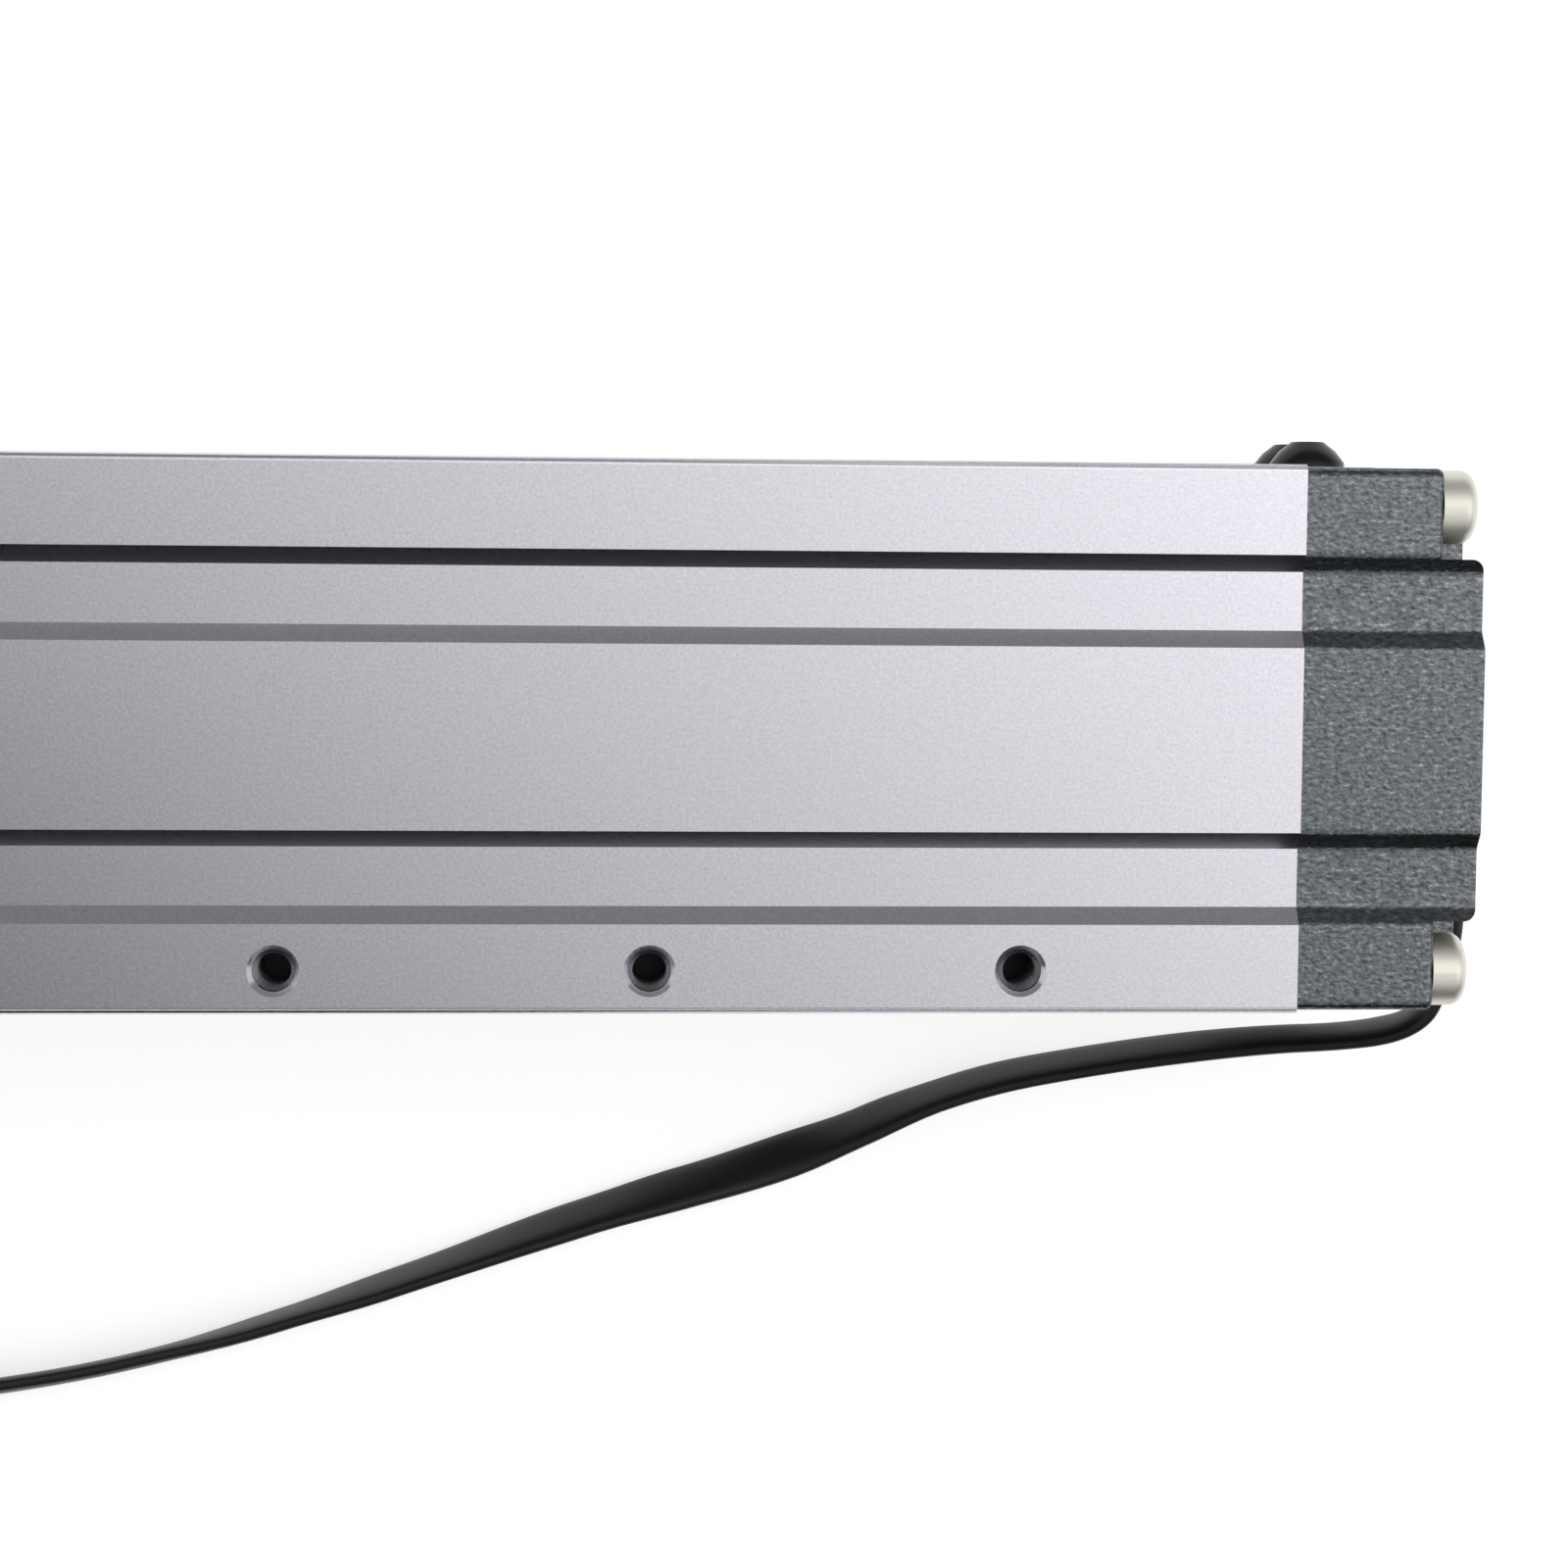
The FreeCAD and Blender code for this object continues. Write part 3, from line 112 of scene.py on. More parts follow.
@dataclass(frozen=True)
class Finish:
    """One surface finish, made as a procedural material."""

    name: str
    colour: tuple[int, int, int]
    metallic: float = 0.0
    roughness: float = 0.5
    specular: float = 0.5
    ior: float = 1.5
    gloss_tint: tuple[int, int, int] = (255, 255, 255)
    grain: Grain = Grain.NONE
    grain_size: float = 0.3 * MM
    grain_depth: float = 0.02 * MM
    mottle: float = 0.0
    sparkle: float = 0.0

    def material(self) -> bpy.types.Material:
        """Makes the material, or finds it if it was made before.

        Returns:
            The material.
        """
        made = bpy.data.materials.get(self.name)
        if made is None:
            made = bpy.data.materials.new(self.name)
            made.use_nodes = True
            self._shade(made.node_tree)
        return made

    def dress(self, *objects: bpy.types.Object) -> None:
        """Puts the finish on objects.

        Args:
            objects: The meshes that take it as their only material.
        """
        for one in objects:
            one.data.materials.clear()
            one.data.materials.append(self.material())

    def _shade(self, tree: bpy.types.NodeTree) -> None:
        """Sets the shader's constants and links its grain.

        Args:
            tree: The material's nodes.
        """
        shader = tree.nodes["Principled BSDF"]
        rgba = (*(linear(level) for level in self.colour), 1.0)
        shader.inputs["Base Color"].default_value = rgba
        shader.inputs["Metallic"].default_value = self.metallic
        shader.inputs["Roughness"].default_value = self.roughness
        shader.inputs["Specular IOR Level"].default_value = self.specular
        shader.inputs["IOR"].default_value = self.ior
        shader.inputs["Specular Tint"].default_value = (*(linear(level) for level in self.gloss_tint), 1.0)
        if self.grain is Grain.NONE:
            return
        place = tree.nodes.new("ShaderNodeTexCoord").outputs["Object"]
        height = self._noise(tree, place, self.grain_size, GRAIN_STRETCH[self.grain]).outputs["Fac"]
        if self.grain is Grain.ERODED:
            height = self._pitted(tree, place, height)
        bump = tree.nodes.new("ShaderNodeBump")
        bump.inputs["Strength"].default_value = 1.0
        bump.inputs["Distance"].default_value = self.grain_depth
        tree.links.new(height, bump.inputs["Height"])
        tree.links.new(bump.outputs["Normal"], shader.inputs["Normal"])
        if self.mottle:
            self._mottled(tree, place, shader, rgba)
        if self.sparkle:
            self._sparkling(tree, place, shader)

    def _noise(self, tree: bpy.types.NodeTree, place: bpy.types.NodeSocket, size: float,
               stretch: tuple[float, float, float]) -> bpy.types.Node:
        """A noise texture with grains of a real size.

        Args:
            tree: The material's nodes.
            place: The coordinates that it reads.
            size: The width of a grain in metres.
            stretch: Its frequency along X, Y and Z, as shares.

        Returns:
            The noise node.
        """
        mapping = tree.nodes.new("ShaderNodeMapping")
        mapping.inputs["Scale"].default_value = tuple(share / size for share in stretch)
        noise = tree.nodes.new("ShaderNodeTexNoise")
        noise.inputs["Scale"].default_value = 1.0
        noise.inputs["Detail"].default_value = NOISE_DETAIL
        tree.links.new(place, mapping.inputs["Vector"])
        tree.links.new(mapping.outputs["Vector"], noise.inputs["Vector"])
        return noise

    def _pitted(self, tree: bpy.types.NodeTree, place: bpy.types.NodeSocket,
                height: bpy.types.NodeSocket) -> bpy.types.NodeSocket:
        """Adds the round craters of spark erosion to a noise.

        Args:
            tree: The material's nodes.
            place: The coordinates that the craters read.
            height: The noise's height.

        Returns:
            The height of both together.
        """
        cells = tree.nodes.new("ShaderNodeTexVoronoi")
        cells.feature = "SMOOTH_F1"
        cells.inputs["Scale"].default_value = 1 / (CRATER_SIZE * self.grain_size)
        cells.inputs["Smoothness"].default_value = CRATER_SMOOTHNESS
        tree.links.new(place, cells.inputs["Vector"])
        total = tree.nodes.new("ShaderNodeMath")
        total.operation = "ADD"
        tree.links.new(height, total.inputs[0])
        tree.links.new(cells.outputs["Distance"], total.inputs[1])
        return total.outputs["Value"]

    def _mottled(self, tree: bpy.types.NodeTree, place: bpy.types.NodeSocket, shader: bpy.types.Node,
                 rgba: tuple[float, ...]) -> None:
        """Varies the colour a little from grain to grain.

        Args:
            tree: The material's nodes.
            place: The coordinates that the variation reads.
            shader: The shader whose colour varies.
            rgba: The middle colour.
        """
        spots = self._noise(tree, place, MOTTLE_SIZE * self.grain_size, GRAIN_STRETCH[self.grain])
        ramp = tree.nodes.new("ShaderNodeValToRGB")
        for stop, position, sign in zip(ramp.color_ramp.elements, MOTTLE_STOPS, (-1, 1)):
            stop.position = position
            stop.color = (*(channel * (1 + sign * self.mottle) for channel in rgba[:3]), 1.0)
        tree.links.new(spots.outputs["Fac"], ramp.inputs["Fac"])
        tree.links.new(ramp.outputs["Color"], shader.inputs["Base Color"])

    def _sparkling(self, tree: bpy.types.NodeTree, place: bpy.types.NodeSocket,
                   shader: bpy.types.Node) -> None:
        """Leaves most grains duller than the few that glint.

        Args:
            tree: The material's nodes.
            place: The coordinates that the variation reads.
            shader: The shader whose gloss varies.
        """
        glints = self._noise(tree, place, GLINT_SIZE * self.grain_size, GLINT_STRETCH)
        glints.inputs["Detail"].default_value = GLINT_DETAIL
        glints.inputs["Roughness"].default_value = GLINT_ROUGHNESS
        ramp = tree.nodes.new("ShaderNodeValToRGB")
        ramp.color_ramp.elements.new(GLINT_STOPS[1])
        shares = (1 - self.sparkle, GLINT_MIDDLE, 1.0)
        for stop, position, share in zip(ramp.color_ramp.elements, GLINT_STOPS, shares):
            stop.position = position
            stop.color = (*(share * linear(level) for level in self.gloss_tint), 1.0)
        tree.links.new(glints.outputs["Fac"], ramp.inputs["Fac"])
        tree.links.new(ramp.outputs["Color"], shader.inputs["Specular Tint"])


ANODISED = Finish("blasted_anodised", (212, 209, 217), metallic=1.0, roughness=0.22, grain=Grain.BLASTED,
                  grain_size=0.18 * MM, grain_depth=0.005 * MM, mottle=0.07)
# Painted shade: the tapped holes' widened walls and the base and payload thread ridges are painted
# near-black metal to stand for the shade inside the holes.
BORE_PAINTED_SHADE = Finish("bore_painted_shade", (44, 44, 47), metallic=1.0, roughness=0.42)
CAP_PLASTIC = Finish("eroded_cap_plastic", (24, 26, 27), roughness=0.28, specular=1.0, ior=2.45,
                     gloss_tint=(240, 248, 255), grain=Grain.ERODED, grain_size=0.36 * MM,
                     grain_depth=0.035 * MM, sparkle=0.82)
# Cut thread metal, its colour darkened as painted shade so that the side holes' ridges fade into the dark
# bore.
THREAD_PAINTED_SHADE = Finish("cut_thread_painted_shade", (118, 116, 121), metallic=1.0, roughness=0.3)
NICKEL = Finish("nickel_plate", (232, 229, 218), metallic=1.0, roughness=0.48)
BLACK_OXIDE = Finish("black_oxide", (24, 26, 28), metallic=0.4, roughness=0.27)
MILLED = Finish("milled_aluminium", (205, 205, 207), metallic=1.0, roughness=0.34, grain=Grain.DRAWN,
                grain_size=0.25 * MM, grain_depth=0.01 * MM)
GROUND_STEEL = Finish("ground_steel", (196, 197, 200), metallic=1.0, roughness=0.2)
LAMINATION = Finish("motor_lamination", (44, 45, 48), metallic=0.5, roughness=0.5)
BRASS = Finish("turned_brass", (206, 170, 96), metallic=1.0, roughness=0.28)
RUBBER = Finish("moulded_rubber", (26, 26, 27), roughness=0.62)
SOLDER_MASK = Finish("solder_mask", (24, 92, 58), roughness=0.35)
BLACK_PLASTIC = Finish("black_moulding", (30, 31, 33), roughness=0.42)
RIBBON_FILM = Finish("ribbon_film", (206, 198, 170), roughness=0.4)
SHEATH = Finish("cable_sheath", (19, 23, 22), roughness=0.4, specular=0.45)
GOLD = Finish("contact_gold", (214, 178, 96), metallic=1.0, roughness=0.3)

NODE_FINISHES: dict[Finish, tuple[str, ...]] = {
    ANODISED: ("body_extrusion", "top_cover", "slider_plate"),
    CAP_PLASTIC: ("end_cap_drive", "end_cap_idle"),
    NICKEL: ("cap_screws_drive", "cap_screws_idle", "motor_tie_bolts", "board_screws", "roller_axles"),
    BLACK_OXIDE: ("cover_screws", "mount_screws", "motor_screws", "block_screws", "screw_circlip",
                  "slider_screws", "nut_screws"),
    MILLED: ("motor_mount", "motor_front_flange", "motor_rear_bell", "idle_bearing_block", "carriage_block",
             "roller_spacers"),
    GROUND_STEEL: ("guide_rod_upper", "guide_rod_lower", "bearing_ring_front", "bearing_ring_rear",
                   "bearing_ring_idle", "bearing_inner_rings", "lead_screw", "home_flag",
                   "roller_drive_upper", "roller_drive_lower", "roller_idle_upper", "roller_idle_lower"),
    LAMINATION: ("motor_stator", "rotor_core"),
    BRASS: ("board_pillars", "drive_nut"),
    RUBBER: ("slot_seals", "bumpers_drive", "bumpers_idle", "cable_grommet"),
    SOLDER_MASK: ("control_board",),
    BLACK_PLASTIC: ("home_sensor", "cable_tie", "cable_plug"),
    RIBBON_FILM: ("sensor_ribbon",),
    SHEATH: ("cable_run", "cable_coil"),
}


def mesh_object(name: str, points: list[Vector], faces: list[tuple[int, ...]],
                smooth: bool = True) -> bpy.types.Object:
    """A mesh from points and faces, in the scene.

    Args:
        name: The piece's name.
        points: The corners.
        faces: The corners' numbers, face by face.
        smooth: Whether the faces are shaded smooth.

    Returns:
        The new object.
    """
    mesh = bpy.data.meshes.new(name)
    mesh.from_pydata([tuple(point) for point in points], [], faces)
    made = bpy.data.objects.new(name, mesh)
    bpy.context.scene.collection.objects.link(made)
    work = bmesh.new()
    work.from_mesh(mesh)
    bmesh.ops.recalc_face_normals(work, faces=work.faces)
    work.to_mesh(mesh)
    work.free()
    if smooth:
        mesh.shade_smooth()
    else:
        mesh.shade_flat()
    return made


def ring_faces(rings: int, size: int) -> list[tuple[int, ...]]:
    """Faces between rings of points, with a face at each end.

    Args:
        rings: How many rings there are.
        size: How many points each ring has.

    Returns:
        The faces as tuples of the points' numbers.
    """
    faces: list[tuple[int, ...]] = []
    for row in range(rings - 1):
        for i in range(size):
            j = (i + 1) % size
            faces.append((row * size + i, row * size + j, (row + 1) * size + j, (row + 1) * size + i))
    faces.append(tuple(range(size)))
    faces.append(tuple(range((rings - 1) * size, rings * size)))
    return faces


def settle(piece: bpy.types.Object, body: Body) -> bpy.types.Object:
    """Joins a piece to a body of the frame.

    Args:
        piece: The new piece.
        body: The body that it rides on.

    Returns:
        The same piece.
    """
    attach(piece, body.value)
    LOG.info("built %s on %s", piece.name, body.value)
    return piece


def cut_bars(node: bpy.types.Object, name: str, places: list[Vector], axis: Vector, radius: float,
             depth: float, sides: int, finish: Finish) -> None:
    """Cuts prisms into a CAD node with a modifier. The cutter is hidden and moves with the node.

    Args:
        node: The CAD node.
        name: The cutter's name.
        places: Where the prisms start.
        axis: The direction into the node.
        radius: The radius to the prisms' corners.
        depth: How deep they go.
        sides: How many sides they have.
        finish: The finish of the new inner faces.
    """
    first = axis.orthogonal().normalized()
    second = axis.cross(first)
    points: list[Vector] = []
    faces: list[tuple[int, ...]] = []
    for place in places:
        start = len(points)
        for level in (0.0, depth):
            for i in range(sides):
                angle = math.tau * i / sides
                out = first * math.cos(angle) + second * math.sin(angle)
                points.append(place + out * radius + axis * level)
        faces += [tuple(start + corner for corner in face) for face in ring_faces(2, sides)]
    cutter = mesh_object(name, points, faces, smooth=False)
    cutter.parent = node
    cutter.hide_render = True
    cutter.hide_viewport = True
    finish.dress(cutter)
    modifier = node.modifiers.new(name, "BOOLEAN")
    modifier.material_mode = "TRANSFER"
    modifier.object = cutter
    modifier.operation = "DIFFERENCE"
    modifier.solver = "EXACT"
    LOG.info("cut %d places into %s", len(places), node.name)


@dataclass(frozen=True)
class Coil:
    """Where the put-away length of cable lies, with the plug inside it."""

    centre: tuple[float, float] = (12.0 * MM, -115.4 * MM)
    plug_angle: float = 300.0
    plug_radius: float = 22.06 * MM
    plug_length: float = 20.0 * MM


@dataclass
class FlatCable:
    """The flat cable: its visible run, the coil of the length out of view, and its plug."""

    width: float = 5.8 * MM
    thickness: float = 1.85 * MM
    squareness: float = 2.7
    section_points: int = 28
    exit: tuple[float, float, float] = (202.9 * MM, -12.0 * MM, 26.0 * MM)
    lead: float = 3.0 * MM
    smoothness: int = 10
    coil: Coil = Coil()
    coil_radius: float = 36.4 * MM
    coil_height: float = 4.0 * MM
    coil_lead: float = 14.0 * MM
    coil_step: float = 2.6 * MM
    coil_start: float = 90.0
    coil_turns: int = 2
    stop_angle: float = 30.0
    plug_approach: float = 75.0
    plug_height: float = 3.7 * MM
    route: tuple[tuple[float, float, float], ...] = (
        (208.5, -14.2, 25.8),
        (209.8, -18.4, 25.2),
        (209.7, -23.6, 24.5),
        (209.0, -28.6, 23.4),
        (207.2, -33.2, 21.6),
        (201.4, -35.2, 18.2),
        (190.5, -36.5, 12.8),
        (176.0, -39.1, 7.8),
        (158.5, -42.8, 4.9),
        (140.5, -51.3, 3.2),
        (117.0, -57.9, 2.8),
        (93.0, -66.5, 3.0),
        (67.0, -74.6, 3.1),
        (44.0, -78.2, 3.5),
    )
    on_edge: float = 90.0
    rolled_y: tuple[float, float] = (-78.9 * MM, -30.0 * MM)
    rolls: tuple[tuple[float, float], ...] = (
        (34.0, 90.0),
        (50.0, 104.0),
        (66.0, 101.0),
        (82.0, 86.0),
        (95.0, 75.0),
        (117.0, 60.0),
        (128.0, 49.0),
        (139.0, 41.0),
        (148.0, 58.0),
        (157.0, 69.0),
        (180.0, 71.0),
        (203.0, 78.0),
        (209.0, 90.0),
    )

    def build(self, end_pieces: list[bpy.types.Object]) -> bpy.types.Object:
        """Args:
            end_pieces: The small pieces that go with the cable's far end; not used.

        Returns:
            The cable's mesh.
        """
        line = self._line()
        section = self._section()
        points: list[Vector] = []
        for i, place in enumerate(line):
            ahead = (line[min(i + 1, len(line) - 1)] - line[max(i - 1, 0)]).normalized()
            side = ahead.cross(Vector((0, 0, 1))).normalized()
            up = side.cross(ahead)
            roll = math.radians(self._roll(i, line))
            across = math.sin(roll) * up - math.cos(roll) * side
            through = ahead.cross(across)
            points += [place + across * a + through * b for a, b in section]
        cable = mesh_object("flat_cable", points, ring_faces(len(line), len(section)))
        SHEATH.dress(cable)
        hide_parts("cable_run", "cable_coil")
        settle(cable, Body.FRAME)
        return cable

    def _roll(self, index: int, line: list[Vector]) -> float:
        """How far the cable is turned from lying flat, in degrees.

        Args:
            index: The place's number along the line.
            line: The cable's line.

        Returns:
            The turn.
        """
        x = line[index].x / MM
        low_y, high_y = self.rolled_y
        if line[index].y < low_y or line[index].y > high_y:
            return self.on_edge
        for (low, first), (high, last) in zip(self.rolls, self.rolls[1:]):
            if low <= x <= high:
                share = (x - low) / (high - low)
                share = share * share * (3 - 2 * share)
                return first + share * (last - first)
        return self.on_edge

    def _section(self) -> list[tuple[float, float]]:
        """The cable's section: a flat bar with soft edges.

        Returns:
            Points across and through the cable.
        """
        outline: list[tuple[float, float]] = []
        for step in range(self.section_points):
            angle = math.tau * step / self.section_points
            across, through = (math.copysign(abs(share) ** (2 / self.squareness), share)
                               for share in (math.cos(angle), math.sin(angle)))
            outline.append((across * self.width / 2, through * self.thickness / 2))
        return outline

    def _line(self) -> list[Vector]:
        """The line down the middle of the cable, read from a smooth curve through its route.

        Returns:
            Points close together.
        """
        stops = [Vector(self.exit), Vector(self.exit) + Vector((self.lead, 0, 0))]
        stops += [Vector(stop) * MM for stop in self.route]
        stops += self._coil_stops()
        curve = bpy.data.curves.new("cable_line", "CURVE")
        curve.dimensions = "3D"
        curve.resolution_u = self.smoothness
        spline = curve.splines.new("NURBS")
        spline.points.add(len(stops) - 1)
        for point, stop in zip(spline.points, stops):
            point.co = (*stop, 1.0)
        spline.order_u = 3
        spline.use_endpoint_u = True
        holder = bpy.data.objects.new("cable_line", curve)
        mesh = bpy.data.meshes.new_from_object(holder)
        line = [vertex.co.copy() for vertex in mesh.vertices]
        bpy.data.meshes.remove(mesh)
        bpy.data.objects.remove(holder)
        bpy.data.curves.remove(curve)
        return line

    def _coil_stops(self) -> list[Vector]:
        """The route's points round the coil and into the plug.

        Returns:
            The points, from the coil's near side inwards.
        """
        # The curve runs inside its points by this share, as three of them weigh on each place
        spread = 1 / (0.75 + 0.25 * math.cos(math.radians(self.stop_angle)))
        stops = [self._at_coil(self.coil_start, self.coil_radius) + Vector((self.coil_lead, 0, 0))]
        angle = self.coil_start + self.stop_angle / 2
        last = self.coil.plug_angle + 360.0 * self.coil_turns - self.plug_approach
        while angle < last:
            radius = self.coil_radius - self.coil_step * (angle - self.coil_start) / 360.0
            stops.append(self._at_coil(angle, radius * spread))
            angle += self.stop_angle
        turn = math.radians(self.coil.plug_angle)
        along = Vector((-math.sin(turn), math.cos(turn), 0))
        plug = self._at_coil(self.coil.plug_angle, self.coil.plug_radius)
        plug.z = self.plug_height
        for before in (self.coil_lead, self.coil_lead / 3, -self.thickness):
            stops.append(plug - along * (self.coil.plug_length / 2 + before))
        return stops

    def _at_coil(self, angle: float, radius: float) -> Vector:
        """A place on the coil, from its angle in degrees and its radius."""
        turn = math.radians(angle)
        x, y = self.coil.centre
        return Vector((x + radius * math.cos(turn), y + radius * math.sin(turn), self.coil_height))


@dataclass
class CableEnd:
    """The plug's latch, ribs and contacts, and the head and tail of the tie round the coil."""

    coil: Coil = Coil()
    plug_height: float = 7.4 * MM
    latch_place: tuple[float, float, float] = (0.0, 4.2 * MM, 7.75 * MM)
    latch_size: tuple[float, float, float] = (3.2 * MM, 8.0 * MM, 0.9 * MM)
    rib_y: tuple[float, ...] = (-4.0 * MM, -5.6 * MM, -7.2 * MM)
    rib_size: tuple[float, float, float] = (6.0 * MM, 0.7 * MM, 0.5 * MM)
    contact_x: tuple[float, ...] = (-2.4 * MM, -0.8 * MM, 0.8 * MM, 2.4 * MM)
    contact_size: tuple[float, float, float] = (0.6 * MM, 0.5 * MM, 3.0 * MM)
    tie_angle: float = 205.0
    tie_radius: float = 33.3 * MM
    head_place: tuple[float, float, float] = (2.0 * MM, 0.0, 9.1 * MM)
    head_size: tuple[float, float, float] = (4.6 * MM, 4.8 * MM, 3.0 * MM)
    tail_place: tuple[float, float, float] = (-3.0 * MM, 0.0, 9.1 * MM)
    tail_size: tuple[float, float, float] = (7.0 * MM, 2.4 * MM, 1.0 * MM)
    broken_edge: float = 0.2

    def build(self) -> list[bpy.types.Object]:
        """Builds the small pieces at the cable's far end.

        Returns:
            The new pieces.
        """
        plug = self._frame_at(self.coil.plug_angle, self.coil.plug_radius)
        tie = self._frame_at(self.tie_angle, self.tie_radius)
        top, front = self.plug_height, self.coil.plug_length / 2
        ribs = [(0.0, y, top) for y in self.rib_y]
        pins = [(x, front, top / 2) for x in self.contact_x]
        latch = self._blocks("plug_latch", plug, [self.latch_place], self.latch_size)
        grip = self._blocks("plug_grip_ribs", plug, ribs, self.rib_size)
        contacts = self._blocks("plug_contacts", plug, pins, self.contact_size)
        head = self._blocks("tie_head", tie, [self.head_place], self.head_size)
        tail = self._blocks("tie_tail", tie, [self.tail_place], self.tail_size)
        for piece in (latch, grip, head, tail):
            BLACK_PLASTIC.dress(piece)
            settle(piece, Body.FRAME)
        GOLD.dress(contacts)
        settle(contacts, Body.FRAME)
        return [latch, grip, contacts, head, tail]

    def _frame_at(self, angle: float, radius: float) -> Matrix:
        """The place and turn of a piece at the coil: X outwards, Y along the coil.

        Args:
            angle: The piece's angle in degrees.
            radius: Its distance from the coil's centre.

        Returns:
            The matrix of its local axes.
        """
        x, y = self.coil.centre
        turn = Matrix.Rotation(math.radians(angle), 4, "Z")
        return Matrix.Translation((x, y, 0)) @ turn @ Matrix.Translation((radius, 0, 0))

    def _blocks(self, name: str, axes: Matrix, places: list[tuple[float, float, float]],
                size: tuple[float, float, float]) -> bpy.types.Object:
        """Equal blocks with broken edges, as one piece.

        Args:
            name: The piece's name.
            axes: The local axes.
            places: The blocks' middles in those axes.
            size: The size of each block.

        Returns:
            The new object.
        """
        work = bmesh.new()
        for place in places:
            shape = axes @ Matrix.Translation(place) @ Matrix.Diagonal((*size, 1.0))
            bmesh.ops.create_cube(work, size=1.0, matrix=shape)
        bmesh.ops.bevel(work, geom=work.edges[:], offset=self.broken_edge * min(size), segments=2,
                        profile=0.5, affect="EDGES")
        mesh = bpy.data.meshes.new(name)
        work.to_mesh(mesh)
        work.free()
        made = bpy.data.objects.new(name, mesh)
        bpy.context.scene.collection.objects.link(made)
        return made


@dataclass
class ThreadedScrew:
    """The screw with its multi-start thread and plain journals."""

    radius: float = 4.98 * MM
    root: float = 4.15 * MM
    journal: float = 3.98 * MM
    lead: float = 20.0 * MM
    starts: int = 4
    groove_half: float = 0.34
    sides: int = 40
    step: float = 0.5 * MM
    thread_start: float = -173.2 * MM
    thread_end: float = 139.0 * MM

    def build(self) -> bpy.types.Object:
        """Builds the screw over the plain CAD bar's length.

        Returns:
            The screw's mesh.
        """
        low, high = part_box("lead_screw")
        start, end = self.thread_start, self.thread_end
        count = round((end - start) / self.step)
        stations = [low.x, start, start] + [start + (end - start) * i / count for i in range(count + 1)]
        stations += [end, end, high.x]
        points: list[Vector] = []
        for number, x in enumerate(stations):
            plain = number < 2 or number > len(stations) - 3
            for i in range(self.sides):
                angle = math.tau * i / self.sides
                radius = self.journal if plain else self._radius(x, angle)
                points.append(Vector((x, radius * math.cos(angle), AXIS_HEIGHT + radius * math.sin(angle))))
        screw = mesh_object("threaded_screw", points, ring_faces(len(stations), self.sides))
        GROUND_STEEL.dress(screw)
        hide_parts("lead_screw")
        return settle(screw, Body.SCREW)

    def _radius(self, x: float, angle: float) -> float:
        """The thread's radius at a place on the screw.

        Args:
            x: The place along the screw.
            angle: The place round it, in radians.

        Returns:
            The radius there.
        """
        phase = (x / self.lead - angle / math.tau) * self.starts % 1.0
        groove = max(0.0, 1 - (abs(phase - 0.5) / self.groove_half) ** 2)
        return self.radius - (self.radius - self.root) * math.sqrt(groove)


@dataclass
class HoleThreads:
    """Thread ridges inside the module's tapped holes."""

    root: float = 2.0 * MM
    crest: float = 1.62 * MM
    pitch: float = 0.7 * MM
    proud: float = 0.2 * MM
    lead_in: float = 0.45
    foot_half: float = 0.42
    crest_half: float = 0.08
    bore_sides: int = 48
    points_per_turn: int = 24

    def build(self, name: str, node: bpy.types.Object, mouths: list[Vector], axis: Vector, depth: float,
              body: Body, slot: str, finish: Finish) -> bpy.types.Object:
        """Widens the holes to the thread's root and winds one ridge into each.

        Args:
            name: The piece's name.
            node: The CAD node with the holes.
            mouths: Where the threads start.
            axis: The direction into the holes.
            depth: How deep the thread goes.
            body: The body that carries the holes.
            slot: The record's material slot; not used.
            finish: The ridges' finish, a metal whose colour is darkened as painted shade of the hole.

        Returns:
            All the ridges as one mesh.
        """
        # A cutter that ends level with the face would leave its rim open
        starts = [mouth - axis * self.proud for mouth in mouths]
        # The widened walls take the near-black painted shade of the holes.
        cut_bars(node, name + "_bores", starts, axis, self.root, depth + self.proud, self.bore_sides, BORE_PAINTED_SHADE)
        first = axis.orthogonal().normalized()
        second = axis.cross(first)
        profile = ((self.root, -self.foot_half), (self.crest, -self.crest_half),
                   (self.crest, self.crest_half), (self.root, self.foot_half))
        count = round((depth / self.pitch - 1) * self.points_per_turn)
        points: list[Vector] = []
        faces: list[tuple[int, ...]] = []
        for mouth in mouths:
            start = len(points)
            for i in range(count + 1):
                angle = math.tau * i / self.points_per_turn
                out = first * math.cos(angle) + second * math.sin(angle)
                centre = mouth + axis * (self.pitch * (self.lead_in + i / self.points_per_turn))
                points += [centre + out * radius + axis * (share * self.pitch) for radius, share in profile]
            ridge = ring_faces(count + 1, len(profile))
            faces += [tuple(start + corner for corner in face) for face in ridge]
        threads = mesh_object(name, points, faces, smooth=False)
        finish.dress(threads)
        return settle(threads, body)


@dataclass(frozen=True)
class HexSockets:
    """Six-sided drive sockets cut into the heads of CAD screws."""

    across: float = 2.5 * MM
    depth: float = 1.5 * MM
    sides: int = 6

    def cut(self, node: bpy.types.Object, tops: list[Vector], axis: Vector) -> None:
        """Cuts a socket into each head.

        Args:
            node: The CAD node with the screws.
            tops: The middles of the heads' outer faces.
            axis: The direction into the heads.
        """
        starts = [top - axis * self.depth for top in tops]
        corner = self.across / math.sqrt(3)
        cut_bars(node, node.name + "_sockets", starts, axis, corner, 2 * self.depth, self.sides, BLACK_OXIDE)


